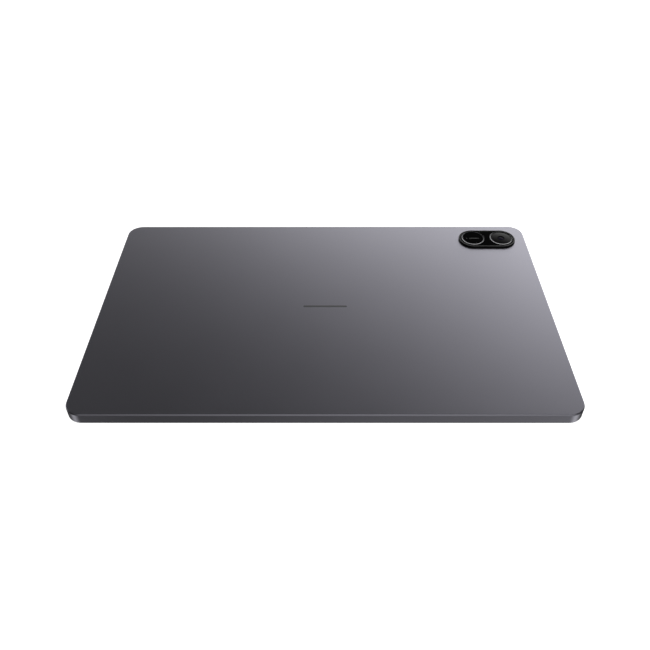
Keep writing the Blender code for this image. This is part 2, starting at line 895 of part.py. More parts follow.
def screw(name, spot):
    """Flat-headed screw, head down, with a socket in its head."""

    def at(radius):
        return circle(radius, 10, spot)

    seat = BOARD_Z0 - 0.05 * MM
    loft(
        name,
        [
            (at(0.5 * MM), seat - 0.25 * MM),
            (at(0.5 * MM), seat - 0.50 * MM),
            (at(1.1 * MM), seat - 0.50 * MM),
            (at(1.3 * MM), seat - 0.35 * MM),
            (at(1.3 * MM), seat),
            (at(0.7 * MM), seat),
            (at(0.7 * MM), CAVITY_TOP),
        ],
        steel(),
    )


def board(name, outline, holes, connectors):
    """Circuit board with its soldered connectors, given as (centre, size) on its lower face."""
    made = prism(name, outline, BOARD_Z0, BOARD_Z1, board_green())
    sockets = [
        block(
            f"{name}_connector_{k}",
            (x - length / 2, y - width / 2, BOARD_Z0 - CONNECTOR_T),
            (x + length / 2, y + width / 2, BOARD_Z0 + 0.2 * MM),
            board_green(),
        )
        for k, ((x, y), (length, width)) in enumerate(connectors)
    ]
    join(made, *sockets)
    cut(
        made,
        *[
            prism(f"{name}_hole_{k}", circle(SCREW_HOLE_R, 12, spot), BOARD_Z0 - MM, BOARD_Z1 + MM, steel())
            for k, spot in enumerate(holes)
        ],
    )


def shield(name, low, high):
    """Sheet-metal can over the parts under the board, open on the board's side."""
    (x0, y0), (x1, y1) = low, high
    bottom, top, wall = 3.55 * MM, BOARD_Z0 - 0.05 * MM, 0.25 * MM
    can = block(name, (x0, y0, bottom), (x1, y1, top), steel())
    inside = block(
        f"{name}_inside",
        (x0 + wall, y0 + wall, bottom + wall),
        (x1 - wall, y1 - wall, top + 1 * MM),
        steel(),
    )
    cut(can, inside)


def boards():
    main_outline = [
        (66 * MM, -66 * MM),
        (114.5 * MM, -66 * MM),
        (114.5 * MM, -13 * MM),
        (129 * MM, -13 * MM),
        (129 * MM, 13 * MM),
        (114.5 * MM, 13 * MM),
        (114.5 * MM, 55 * MM),
        (84 * MM, 55 * MM),
        (84 * MM, 78.5 * MM),
        (66 * MM, 78.5 * MM),
    ]
    main_connectors = [
        ((69.5 * MM, MAIN_FLEX_Y), (5 * MM, MAIN_FLEX_WIDTH)),
        ((DISPLAY_FLEX_X, -62.5 * MM), (DISPLAY_FLEX_WIDTH, 3 * MM)),
        ((79.5 * MM, BUMP_Y), (4 * MM, 6 * MM)),
        ((73 * MM, CELL_WIDTH / 2 + 3.5 * MM), (5.5 * MM, 2.8 * MM)),
    ]
    board("main_board", main_outline, BOARD_SCREWS, main_connectors)
    shield("processor_shield", (75 * MM, 6 * MM), (106 * MM, 40 * MM))
    shield("radio_shield", (75 * MM, -22 * MM), (98 * MM, 3 * MM))
    shield("power_shield", (75 * MM, -50 * MM), (93 * MM, -25 * MM))
    chip("processor_chip", (80 * MM, 14 * MM), (94 * MM, 28 * MM))
    chip("storage_chip", (95.5 * MM, 12 * MM), (105 * MM, 25 * MM))
    block("heat_spreader", (76 * MM, 7 * MM, 3.1 * MM), (105 * MM, 39 * MM, 3.45 * MM), graphite())

    usb_outline = [
        (-129.5 * MM, -9 * MM),
        (-108 * MM, -16 * MM),
        (-108 * MM, 23 * MM),
        (-129.5 * MM, 23 * MM),
    ]
    board("usb_board", usb_outline, USB_SCREWS, [((-111.5 * MM, MAIN_FLEX_Y), (5 * MM, MAIN_FLEX_WIDTH))])
    for k, spot in enumerate(BOARD_SCREWS + USB_SCREWS, 1):
        screw(f"board_screw_{k}", spot)


def chip(name, low, high):
    block(name, (*low, 4.1 * MM), (*high, BOARD_Z0 - 0.05 * MM), chip_black())


def usb_port():
    """Receptacle: an oval drawn shell, and the tongue that carries the contacts."""
    mouth = -(LENGTH / 2 - 0.15 * MM)
    back = mouth + USB_DEPTH
    outer = stadium(USB_WIDTH + 2 * USB_SHELL_T, USB_HEIGHT + 2 * USB_SHELL_T, 6, (0.0, USB_Z))
    inner = stadium(USB_WIDTH, USB_HEIGHT, 6, (0.0, USB_Z))
    loft(
        "usb_shell",
        [(outer, back), (outer, mouth), (inner, mouth), (inner, back - 0.4 * MM)],
        steel(),
        axis="X",
    )
    tongue_end = back - 0.45 * MM
    tongue = prism(
        "usb_tongue",
        rounded_rect(6.69 * MM, 0.70 * MM, 0.2 * MM, 2, (0.0, USB_Z)),
        mouth + 1.1 * MM,
        tongue_end,
        chip_black(),
        axis="X",
    )
    root = prism(
        "usb_tongue_root",
        rounded_rect(7.4 * MM, 1.9 * MM, 0.3 * MM, 2, (0.0, USB_Z)),
        tongue_end - 1.5 * MM,
        tongue_end,
        chip_black(),
        axis="X",
    )
    join(tongue, root)


# ---------------------------------------------------------------- battery and cables


def cell(name, x):
    outline = rounded_rect(CELL_LENGTH, CELL_WIDTH, 2.5 * MM, 4, (x, 0.0))
    crown = rounded_rect(CELL_LENGTH - 1 * MM, CELL_WIDTH - 1 * MM, 2.0 * MM, 4, (x, 0.0))
    loft(
        name,
        [
            (crown, CELL_Z0),
            (outline, CELL_Z0 + 0.5 * MM),
            (outline, CELL_Z1 - 0.5 * MM),
            (crown, CELL_Z1),
        ],
        pouch(),
    )


def battery():
    half_pitch = (CELL_LENGTH + CELL_GAP) / 2
    cell("battery_cell_left", BATTERY_X - half_pitch)
    cell("battery_cell_right", BATTERY_X + half_pitch)
    edge = CELL_WIDTH / 2 + 0.5 * MM
    strip = block(
        "battery_protection_board",
        (BATTERY_X - 32 * MM, edge, 3.9 * MM),
        (BATTERY_X + 32 * MM, edge + 6 * MM, 4.9 * MM),
        board_green(),
    )
    lead = block(
        "battery_lead",
        (BATTERY_X + 30 * MM, edge + 1.5 * MM, flex_z() - FLEX_T),
        (76 * MM, edge + 4.5 * MM, flex_z() + FLEX_T / 2),
        board_green(),
    )
    join(strip, lead)


def s_bend(start, end, steps=6):
    """Points that leave one level line and settle on another without a kink."""
    (u0, v0), (u1, v1) = start, end
    points = []
    for step in range(steps + 1):
        t = step / steps
        points.append((u0 + (u1 - u0) * t, v0 + (v1 - v0) * (1 - cos(pi * t)) / 2))
    return points


def main_flex():
    """Ribbon from the USB board to the main board, over the cells."""
    low, high = flex_z(), CELL_Z1 + 0.22 * MM
    left, right = battery_end(-1), battery_end(1)
    line = [(-113.5 * MM, low)]
    line += s_bend((left - 3.7 * MM, low), (left - 0.4 * MM, high))
    line += s_bend((right + 2.6 * MM, high), (right + 7.3 * MM, low))
    line.append((71.5 * MM, low))
    prism(
        "main_flex",
        ribbon(line, FLEX_T),
        MAIN_FLEX_Y - MAIN_FLEX_WIDTH / 2,
        MAIN_FLEX_Y + MAIN_FLEX_WIDTH / 2,
        polyimide(),
        axis="Y",
    )


def display_flex():
    """Ribbon from the panel's edge round the backlight and up through the plate to the main board."""
    edge = -(SCREEN_WIDTH / 2 + PANEL_MARGIN) - 0.12 * MM
    level = 2.575 * MM
    line = [
        (edge, 0.95 * MM),
        (edge, level - 0.25 * MM),
        (edge + 0.07 * MM, level - 0.07 * MM),
        (edge + 0.25 * MM, level),
    ]
    line += s_bend((-68.0 * MM, level), (-64.2 * MM, flex_z()))
    line.append((-61.2 * MM, flex_z()))
    prism(
        "display_flex",
        ribbon(line, 0.12 * MM),
        DISPLAY_FLEX_X - DISPLAY_FLEX_WIDTH / 2,
        DISPLAY_FLEX_X + DISPLAY_FLEX_WIDTH / 2,
        polyimide(),
        axis="X",
    )


# ---------------------------------------------------------------- sound and radio


def speaker(name, y, sign):
    """Enclosed loudspeaker: a shallow box with its mouth towards the grille."""
    wall = LENGTH / 2 - SIDE_WALL
    x0, x1 = sorted((sign * (wall - 1.3 * MM), sign * (wall - 14.5 * MM)))
    case = prism(
        name,
        rounded_rect(x1 - x0, 24 * MM, 1.5 * MM, 3, ((x0 + x1) / 2, y)),
        3.15 * MM,
        5.85 * MM,
        black_plastic(),
    )
    n0, n1 = sorted((sign * (wall - 0.15 * MM), sign * (wall - 2.5 * MM)))
    nozzle = block(
        f"{name}_nozzle",
        (n0, y - 9.4 * MM, GRILLE_Z - 0.80 * MM),
        (n1, y + 9.4 * MM, GRILLE_Z + 0.80 * MM),
        black_plastic(),
    )
    join(case, nozzle)
    m0, m1 = sorted((sign * (wall + 0.5 * MM), sign * (wall - 1.6 * MM)))
    mouth = block(
        f"{name}_mouth",
        (m0, y - 8.8 * MM, GRILLE_Z - 0.50 * MM),
        (m1, y + 8.8 * MM, GRILLE_Z + 0.50 * MM),
        black_plastic(),
    )
    cut(case, mouth)


def acoustics():
    speaker("speaker_upper_right", SPEAKER_Y_RIGHT[0], 1)
    speaker("speaker_lower_right", SPEAKER_Y_RIGHT[1], 1)
    speaker("speaker_upper_left", SPEAKER_Y_LEFT[0], -1)
    speaker("speaker_lower_left", SPEAKER_Y_LEFT[1], -1)
    top = WIDTH / 2 - SIDE_WALL - 0.15 * MM
    block(
        "microphone_top",
        (MIC_TOP_X - 2 * MM, top - 1.2 * MM, 2.2 * MM),
        (MIC_TOP_X + 2 * MM, top, 5.0 * MM),
        steel(),
    )
    side = -(LENGTH / 2 - SIDE_WALL - 0.15 * MM)
    block(
        "microphone_side",
        (side, MIC_SIDE_Y - 2 * MM, 2.2 * MM),
        (side + 1.2 * MM, MIC_SIDE_Y + 2 * MM, 5.0 * MM),
        steel(),
    )


def antennas():
    """Moulded antenna carriers along the +Y wall and the cable of the far one."""
    for name, x in (("antenna_left", -90 * MM), ("antenna_right", 24 * MM)):
        block(name, (x - 18 * MM, 78.3 * MM, 2.2 * MM), (x + 18 * MM, 81.8 * MM, 5.6 * MM), black_plastic())
    y = 76.9 * MM
    route = [(-73 * MM, y), (66.5 * MM, y)]
    prism("antenna_cable", ribbon(route, 0.7 * MM), 4.2 * MM, 4.9 * MM, black_plastic())


def build():
    clear_scene()
    rear_housing()
    display()
    front_camera()
    rear_camera()
    power_switch_x = power_key()
    volume_switch_y = volume_rocker()
    side_key_flex(power_switch_x, volume_switch_y)
    tray_end = card_tray()
    card_socket(tray_end)
    ejector()
    boards()
    usb_port()
    battery()
    main_flex()
    display_flex()
    acoustics()
    antennas()


build()
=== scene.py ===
"""Looks of the tablet computer: fine outer pieces, materials, studio and camera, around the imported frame.

Everything is in metres in the row frame: +Z out of the metal back, X along the long side, camera plate in
the +X +Y corner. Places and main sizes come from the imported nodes' boxes, and finer sizes are named below.
"""

import json
from math import cos, hypot, pi, radians, sin

import bmesh
import bpy
from mathutils import Matrix, Vector


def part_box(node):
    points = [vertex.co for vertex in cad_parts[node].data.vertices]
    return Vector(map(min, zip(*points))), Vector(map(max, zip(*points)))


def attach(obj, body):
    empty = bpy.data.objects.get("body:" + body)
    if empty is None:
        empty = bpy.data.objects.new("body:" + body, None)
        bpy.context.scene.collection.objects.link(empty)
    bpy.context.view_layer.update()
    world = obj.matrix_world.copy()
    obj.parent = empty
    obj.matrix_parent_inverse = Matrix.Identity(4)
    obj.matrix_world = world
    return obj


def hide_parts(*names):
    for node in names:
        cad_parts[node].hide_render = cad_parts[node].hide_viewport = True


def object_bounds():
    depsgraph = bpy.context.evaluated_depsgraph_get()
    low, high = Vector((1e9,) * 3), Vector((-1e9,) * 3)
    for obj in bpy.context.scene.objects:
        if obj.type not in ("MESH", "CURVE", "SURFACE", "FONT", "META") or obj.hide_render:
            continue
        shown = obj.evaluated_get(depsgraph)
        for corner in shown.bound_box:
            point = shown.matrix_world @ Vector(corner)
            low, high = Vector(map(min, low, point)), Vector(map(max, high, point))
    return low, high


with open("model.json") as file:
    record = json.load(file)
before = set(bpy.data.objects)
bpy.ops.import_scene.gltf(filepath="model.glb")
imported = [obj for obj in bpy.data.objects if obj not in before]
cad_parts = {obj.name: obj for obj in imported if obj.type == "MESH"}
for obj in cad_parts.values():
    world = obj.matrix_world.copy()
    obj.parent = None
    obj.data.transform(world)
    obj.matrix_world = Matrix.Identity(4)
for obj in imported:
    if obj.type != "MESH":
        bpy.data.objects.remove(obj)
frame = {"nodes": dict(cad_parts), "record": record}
cad_low, cad_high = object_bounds()

MM = 0.001
ROOT = "tablet"

# ---------------------------------------------------------------- places read from the frame

BODY_LOW, BODY_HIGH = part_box("rear_housing")
HALF_X, HALF_Y = BODY_HIGH.x, BODY_HIGH.y
BACK_Z = BODY_HIGH.z
RIM_Z = BODY_LOW.z
RINGS = {name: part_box(f"lens_ring_{name}") for name in ("main", "second")}
GLASS_LOW, GLASS_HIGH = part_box("cover_glass")
GLASS_INSET = HALF_X - GLASS_HIGH.x
BEZEL_LOW, BEZEL_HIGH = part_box("bezel_frame")

# ---------------------------------------------------------------- dimensions of the finer shapes

RING_SEGMENTS = 96
SMALL_RING_SEGMENTS = 48
CORNER_STEPS = 28
SHARP_FROM = 35  # degrees between faces that keep a sharp edge

# Housing
CORNER_R = 9.0 * MM
CHAMFER_WIDE = 0.46 * MM
CHAMFER_TALL = 0.80 * MM
CHAMFER_SOFT = 0.10 * MM
LOWER_SOFT = 0.20 * MM
LIP = 0.62 * MM
WALL = 1.5 * MM
LEDGE_Z = 1.8 * MM
CAVITY_Z = BACK_Z - 0.8 * MM
HAIR = 0.02 * MM  # gap between pieces that nearly touch
CUT_DEEP = 2.4 * MM  # how far the wall cutters reach in
CUT_EDGE = 0.14 * MM  # depth of the small chamfer round each opening
BOSS_R, BOSS_HOLE_R = 1.9 * MM, 0.85 * MM
RIB_TALL, RIB_HALF_WIDE = 0.7 * MM, 0.5 * MM
MARK_LONG, MARK_WIDE = 26.0 * MM, 1.5 * MM
MARK_LOW, MARK_HIGH = 0.0012 * MM, 0.012 * MM

# Openings, keys and tray in the side walls
SIDE_Z = 3.5 * MM  # height of the middle line of the keys, tray and microphone holes
GRILLE_Z = 3.6 * MM
GRILLE_SLOTS = 6
GRILLE_PITCH = 3.0 * MM
GRILLE_LONG, GRILLE_TALL, GRILLE_FLARE = 1.9 * MM, 1.1 * MM, 0.1 * MM
SPEAKERS = ("speaker_upper_right", "speaker_lower_right", "speaker_upper_left", "speaker_lower_left")
KEY_TALL = 2.4 * MM
KEY_GAP = 0.12 * MM
POWER_LONG = 15.0 * MM
ROCKER_LONG = 24.0 * MM
ROCKER_END_GAP = 0.24 * MM  # wider than KEY_GAP, because the rocker tilts
NUB_LONG, NUB_TALL = 2.4 * MM, 1.6 * MM
NUB_ROOT = 0.45 * MM  # depth of the nub's root behind the skirt's outer face
ROCKER_NUB_AT = 8.0 * MM
TRAY_LONG, TRAY_TALL = 15.4 * MM, 2.2 * MM
TRAY_GAP, TRAY_FLARE = 0.10 * MM, 0.08 * MM
TRAY_FACE_THICK = 1.25 * MM
PIN_HOLE_R, PIN_HOLE_WIDE_R, PIN_HOLE_AT = 0.5 * MM, 0.62 * MM, -6.1 * MM
PORT_GAP, PORT_FLARE = 0.15 * MM, 0.22 * MM
PORT_WALL = 0.3 * MM
CONTACTS, CONTACT_PITCH = 12, 0.5 * MM
MICROPHONE_LONG, MICROPHONE_TALL, MICROPHONE_FLARE = 1.0 * MM, 0.99 * MM, 0.12 * MM

# Rear camera
PLATE_R = 9.3 * MM
PLATE_RIM = 1.05 * MM  # raised border of the plate round its glass
PLATE_OPENING_INSET = 0.35 * MM
WELL_R = 4.2 * MM
DISC_CROWN = 0.28 * MM
RING_WIDE = 0.70 * MM
RING_FALL = 0.12 * MM  # the ring's top slopes gently inwards
LENS_R = 2.2 * MM
LENS_CROWN_STEPS = 8
DASH_WIDE = 0.7 * MM
DASHES = ((-4.1 * MM, 0.9 * MM), (0.9 * MM, 6.6 * MM))  # place along the disc and length of each dash

# Screen side
BLACK_BORDER = 2.05 * MM
SCREEN_HALF = (127.95 * MM, 77.85 * MM)
FRONT_CAMERA_Y = 79.8 * MM
FRONT_LENS_R, FRONT_RING_R = 1.3 * MM, 1.75 * MM

# Colours, all linear
WHITE = (1.0, 1.0, 1.0, 1.0)
ANODISED_COLOUR = (0.200, 0.197, 0.224)
ANODISED_ROUGHNESS = 0.30


def middle(node):
    low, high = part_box(node)
    return (low + high) / 2


def span(node):
    low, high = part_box(node)
    return high - low


# ---------------------------------------------------------------- outlines and profiles


def rounded_rect(half_x, half_y, radius, steps=CORNER_STEPS, centre=(0.0, 0.0)):
    points = []
    for quarter, (sx, sy) in enumerate(((1, 1), (-1, 1), (-1, -1), (1, -1))):
        cx = centre[0] + sx * (half_x - radius)
        cy = centre[1] + sy * (half_y - radius)
        for step in range(steps + 1):
            angle = pi / 2 * (quarter + step / steps)
            points.append((cx + radius * cos(angle), cy + radius * sin(angle)))
    return points


def body_outline(inset):
    return rounded_rect(HALF_X - inset, HALF_Y - inset, CORNER_R - inset)


def stadium(length, width, steps=16, centre=(0.0, 0.0)):
    radius = width / 2
    points = []
    for side, sign in ((0, 1), (1, -1)):
        for step in range(2 * steps + 1):
            angle = pi * (side - 0.5 + step / (2 * steps))
            u = centre[0] + sign * (length / 2 - radius) + radius * cos(angle)
            points.append((u, centre[1] + radius * sin(angle)))
    return points


def circle(radius, steps=RING_SEGMENTS, centre=(0.0, 0.0)):
    return [
        (centre[0] + radius * cos(2 * pi * k / steps), centre[1] + radius * sin(2 * pi * k / steps))
        for k in range(steps)
    ]


def soften(path, steps=5):
    """Rounds the corners of a profile given as (inset or radius, height, corner radius)."""
    done = []
    for k, (u, v, radius) in enumerate(path):
        if radius == 0 or k in (0, len(path) - 1):
            done.append((u, v))
            continue
        ends = []
        for other in (path[k - 1], path[k + 1]):
            long = hypot(other[0] - u, other[1] - v)
            reach = min(radius, long * 0.49) / long
            ends.append((u + (other[0] - u) * reach, v + (other[1] - v) * reach))
        for step in range(steps + 1):
            t = step / steps
            a, b, c = (1 - t) ** 2, 2 * t * (1 - t), t**2
            done.append(
                (
                    a * ends[0][0] + b * u + c * ends[1][0],
                    a * ends[0][1] + b * v + c * ends[1][1],
                )
            )
    return done


# ---------------------------------------------------------------- meshes

AXES = {
    "Z": lambda u, v, w: (u, v, w),
    "X": lambda u, v, w: (w, u, v),
    "Y": lambda u, v, w: (u, w, v),
}


def add_loft(shape, rings, axis="Z", closed=False):
    place = AXES[axis]
    rows = [[shape.verts.new(place(u, v, height)) for u, v in outline] for outline, height in rings]
    pairs = list(zip(rows, rows[1:] + rows[:1])) if closed else list(zip(rows, rows[1:]))
    for lower, upper in pairs:
        for k in range(len(lower)):
            after = (k + 1) % len(lower)
            shape.faces.new((lower[k], lower[after], upper[after], upper[k]))
    if not closed:
        shape.faces.new(rows[0])
        shape.faces.new(rows[-1])


def add_block(shape, low, high):
    corners = [(low[0], low[1]), (high[0], low[1]), (high[0], high[1]), (low[0], high[1])]
    add_loft(shape, [(corners, low[2]), (corners, high[2])])


def smooth(mesh):
    """Smooth shading, with the corners of the shape kept sharp."""
    mesh.shade_smooth()
    mesh.set_sharp_from_angle(angle=radians(SHARP_FROM))


def to_object(name, shape):
    bmesh.ops.recalc_face_normals(shape, faces=shape.faces)
    mesh = bpy.data.meshes.new(name)
    shape.to_mesh(mesh)
    shape.free()
    smooth(mesh)
    obj = bpy.data.objects.new(name, mesh)
    bpy.context.scene.collection.objects.link(obj)
    return obj


def loft(name, rings, axis="Z", closed=False):
    shape = bmesh.new()
    add_loft(shape, rings, axis, closed)
    return to_object(name, shape)


def apply_modifiers(obj):
    graph = bpy.context.evaluated_depsgraph_get()
    mesh = bpy.data.meshes.new_from_object(obj.evaluated_get(graph))
    obj.modifiers.clear()
    obj.data = mesh


def carve(obj, *cutters):
    """Cuts each cutter out of obj for good, and removes the cutter."""
    for number, cutter in enumerate(cutters):
        step = obj.modifiers.new(f"cut_{number}", "BOOLEAN")
        step.operation = "DIFFERENCE"
        step.object = cutter
    apply_modifiers(obj)
    for cutter in cutters:
        bpy.data.objects.remove(cutter)
    smooth(obj.data)


def even_normals(obj):
    """Keeps broad flat faces flat where they run into a rounded edge."""
    step = obj.modifiers.new("even_normals", "WEIGHTED_NORMAL")
    step.keep_sharp = True
    step.weight = 80


def place(obj, paint, slot, body=ROOT, replaces=()):
    """Gives a piece its material, and lets it ride on its body; slot is not used."""
    obj.data.materials.clear()
    obj.data.materials.append(paint)
    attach(obj, body)
    if replaces:
        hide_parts(*replaces)
    return obj


# ---------------------------------------------------------------- materials


class Nodes:
    """Short helper around a material's node tree."""

    def __init__(self, name):
        self.material = bpy.data.materials.new(name)
        self.material.use_nodes = True
        self.tree = self.material.node_tree
        self.shader = self.tree.nodes["Principled BSDF"]
        self.coords = self.tree.nodes.new("ShaderNodeTexCoord")

    def set(self, **values):
        for key, value in values.items():
            self.shader.inputs[key.replace("_", " ")].default_value = value

    def node(self, kind, **values):
        made = self.tree.nodes.new(kind)
        for key, value in values.items():
            setattr(made, key, value)
        return made

    def link(self, source, target):
        self.tree.links.new(source, target)

    def noise(self, scale, detail=3.0):
        made = self.node("ShaderNodeTexNoise")
        made.inputs["Scale"].default_value = scale
        made.inputs["Detail"].default_value = detail
        made.inputs["Roughness"].default_value = 0.55
        self.link(self.coords.outputs["Object"], made.inputs["Vector"])
        return made.outputs["Fac"]

    def between(self, factor, low, high):
        """Spreads the middle of a noise's range over low to high."""
        made = self.node("ShaderNodeMapRange")
        made.inputs["From Min"].default_value = 0.3
        made.inputs["From Max"].default_value = 0.7
        made.inputs["To Min"].default_value = low
        made.inputs["To Max"].default_value = high
        self.link(factor, made.inputs["Value"])
        return made.outputs["Result"]

    def tint(self, factor, dark, light):
        made = self.node("ShaderNodeMix", data_type="RGBA")
        self.link(factor, made.inputs["Factor"])
        made.inputs[6].default_value = (*dark, 1.0)
        made.inputs[7].default_value = (*light, 1.0)
        return made.outputs[2]

    def bump(self, height, strength, distance):
        made = self.node("ShaderNodeBump")
        made.inputs["Strength"].default_value = strength
        made.inputs["Distance"].default_value = distance
        self.link(height, made.inputs["Height"])
        self.link(made.outputs["Normal"], self.shader.inputs["Normal"])


def shades(colour, spread):
    dark = tuple(c * (1 - spread) for c in colour)
    light = tuple(c * (1 + spread) for c in colour)
    return dark, light


def surface(
    name,
    colour,
    roughness,
    metallic=0.0,
    spread=0.06,
    grain=1500,
    bump=0.1,
    depth=0.01 * MM,
    drift=0.06,
    **more,
):
    """General finish: fine grain in colour and relief, and a slow drift in roughness."""
    found = bpy.data.materials.get(name)
    if found:
        return found
    nodes = Nodes(name)
    fine = nodes.noise(grain)
    broad = nodes.noise(45.0, detail=2.0)
    dark, light = shades(colour, spread)
    nodes.link(nodes.tint(nodes.between(fine, 0.0, 1.0), dark, light), nodes.shader.inputs["Base Color"])
    nodes.link(
        nodes.between(broad, roughness * (1 - drift), roughness * (1 + drift)),
        nodes.shader.inputs["Roughness"],
    )
    nodes.bump(fine, bump, depth)
    nodes.set(Metallic=metallic, **more)
    return nodes.material


def anodised():
    return surface(
        "anodised_grey", ANODISED_COLOUR, ANODISED_ROUGHNESS, 1.0, spread=0.035, grain=2600, bump=0.05,
        depth=0.004 * MM, drift=0.008,
    )


def polished_edge():
    return surface(
        "polished_grey", ANODISED_COLOUR, ANODISED_ROUGHNESS * 0.85, 1.0, spread=0.02, grain=2600,
        bump=0.03, depth=0.003 * MM,
    )


def black_plate():
    return surface(
        "gloss_black_plate", (0.0018, 0.0018, 0.0022), 0.2, 0.0, spread=0.1, grain=3000, bump=0.02,
        depth=0.003 * MM, Specular_IOR_Level=0.15,
    )


def black_glass():
    return surface(
        "black_glass", (0.0008, 0.0008, 0.0010), 0.045, 0.0, spread=0.15, grain=900, bump=0.01,
        depth=0.002 * MM, Specular_IOR_Level=0.004,
    )


def lens_glass():
    return surface(
        "lens_glass", (0.0015, 0.0015, 0.0018), 0.06, 0.0, spread=0.15, grain=900, bump=0.01,
        depth=0.002 * MM, Specular_IOR_Level=0.05,
    )


def ring_metal():
    return surface(
        "turned_ring", (0.034, 0.034, 0.036), 0.30, 1.0, spread=0.08, grain=5000, bump=0.02,
        depth=0.002 * MM,
    )


def ink(name="printed_ink", colour=(0.012, 0.012, 0.015), gloss=0.5):
    return surface(
        name, colour, 0.42, 0.0, spread=0.1, grain=2500, bump=0.05, depth=0.004 * MM,
        Specular_IOR_Level=gloss,
    )


def moulded():
    return surface(
        "moulded_black", (0.018, 0.018, 0.02), 0.48, 0.0, spread=0.12, grain=2200, bump=0.2,
        depth=0.01 * MM,
    )


def coated_lens():
    """Dark glass with a faint violet coating, mottled finely."""
    return surface(
        "coated_lens", (0.010, 0.008, 0.022), 0.04, 0.0, spread=0.3, grain=1200, bump=0.01,
        depth=0.001 * MM, drift=0.2, Specular_IOR_Level=0.02,
    )


def screen_glass():
    """Cover glass seen from outside: black printed border, and the dark cell behind the lit area."""
    nodes = Nodes("screen_glass")
    panel = span("display_panel")
    separate = nodes.node("ShaderNodeSeparateXYZ")
    nodes.link(nodes.coords.outputs["Object"], separate.inputs["Vector"])
    inside = None
    for axis, half in (("X", panel.x / 2 - BLACK_BORDER), ("Y", panel.y / 2 - BLACK_BORDER)):
        size = nodes.node("ShaderNodeMath", operation="ABSOLUTE")
        nodes.link(separate.outputs[axis], size.inputs[0])
        less = nodes.node("ShaderNodeMath", operation="LESS_THAN")
        less.inputs[1].default_value = half
        nodes.link(size.outputs[0], less.inputs[0])
        if inside is None:
            inside = less.outputs[0]
            continue
        both = nodes.node("ShaderNodeMath", operation="MULTIPLY")
        nodes.link(inside, both.inputs[0])
        nodes.link(less.outputs[0], both.inputs[1])
        inside = both.outputs[0]
    nodes.link(
        nodes.tint(inside, (0.0022, 0.0022, 0.0026), (0.0075, 0.0078, 0.009)),
        nodes.shader.inputs["Base Color"],
    )
    nodes.link(nodes.between(nodes.noise(400), 0.03, 0.055), nodes.shader.inputs["Roughness"])
    nodes.bump(nodes.noise(900), 0.01, 0.002 * MM)
    nodes.set(IOR=1.52, Coat_Weight=0.3, Coat_Roughness=0.03)
    return nodes.material


def mesh_cloth():
    """Fine woven acoustic mesh: two crossed waves make the wires and the holes."""
    nodes = Nodes("acoustic_mesh")
    height = None
    for direction in ("Y", "Z"):
        wave = nodes.node("ShaderNodeTexWave", bands_direction=direction)
        wave.inputs["Scale"].default_value = 1400.0
        wave.inputs["Distortion"].default_value = 0.0
        nodes.link(nodes.coords.outputs["Object"], wave.inputs["Vector"])
        if height is None:
            height = wave.outputs["Fac"]
            continue
        both = nodes.node("ShaderNodeMath", operation="MAXIMUM")
        nodes.link(height, both.inputs[0])
        nodes.link(wave.outputs["Fac"], both.inputs[1])
        height = both.outputs[0]
    nodes.link(
        nodes.tint(height, (0.003, 0.003, 0.003), (0.05, 0.05, 0.052)),
        nodes.shader.inputs["Base Color"],
    )
    nodes.link(nodes.between(nodes.noise(1500), 0.45, 0.6), nodes.shader.inputs["Roughness"])
    nodes.bump(height, 0.5, 0.02 * MM)
    nodes.set(Metallic=0.5)
    return nodes.material


def sheet_steel():
    return surface("sheet_steel", (0.5, 0.5, 0.51), 0.32, 1.0, spread=0.06, grain=1800, bump=0.08)


def gold_plate():
    return surface("gold_plate", (0.83, 0.58, 0.22), 0.25, 1.0, spread=0.05, grain=3000, bump=0.05)


# Finish of the inner pieces by slot: material name, colour, roughness, metallic, spread, grain, bump
INNER_LOOKS = {
    "foam_tape": ("foam_tape_look", (0.03, 0.03, 0.03), 0.9, 0.0, 0.25, 3000, 0.5),
    "display_cell": ("display_cell_look", (0.01, 0.01, 0.012), 0.1, 0.0, 0.1, 900, 0.02),
    "backlight": ("backlight_look", (0.78, 0.78, 0.8), 0.35, 0.0, 0.03, 700, 0.05),
    "aluminium_sheet": ("aluminium_sheet_look", (0.52, 0.52, 0.54), 0.38, 1.0, 0.05, 900, 0.1),
    "black_plastic": ("inner_black_plastic", (0.02, 0.02, 0.022), 0.5, 0.0, 0.12, 2200, 0.2),
    "chip_package": ("chip_package_look", (0.016, 0.016, 0.017), 0.55, 0.0, 0.2, 3500, 0.2),
    "steel": ("inner_steel", (0.5, 0.5, 0.51), 0.34, 1.0, 0.06, 1800, 0.1),
    "circuit_board": ("solder_mask", (0.008, 0.055, 0.032), 0.38, 0.0, 0.35, 420, 0.4),
    "polyimide_flex": ("polyimide_look", (0.33, 0.14, 0.016), 0.35, 0.0, 0.15, 700, 0.15),
    "graphite": ("graphite_look", (0.03, 0.03, 0.033), 0.5, 0.4, 0.3, 900, 0.3),
    "battery_pouch": ("pouch_foil", (0.045, 0.045, 0.05), 0.42, 0.3, 0.15, 260, 0.5),
}


def paint_inner_nodes():
    """Every CAD node that no finer piece replaces gets its slot's finish."""
    slots = {s["node"]: s["material_slot"] for s in frame["record"]["subparts"]}
    for name, obj in frame["nodes"].items():
        if obj.hide_render:
            continue
        look, colour, rough, metallic, spread, grain, bump = INNER_LOOKS[slots[name]]
        paint = surface(look, colour, rough, metallic, spread, grain, bump)
        obj.data.materials.clear()
        obj.data.materials.append(paint)


# ---------------------------------------------------------------- housing


def slot_rings(sign, face, outline, flare):
    """Rings of a cutter that goes through a wall and widens into a chamfer at its outer face."""
    return [
        (outline(0.0), sign * (face - CUT_DEEP)),
        (outline(0.0), sign * (face - CUT_EDGE)),
        (outline(flare), sign * face),
        (outline(flare * 3), sign * (face + 2 * CUT_EDGE)),
    ]


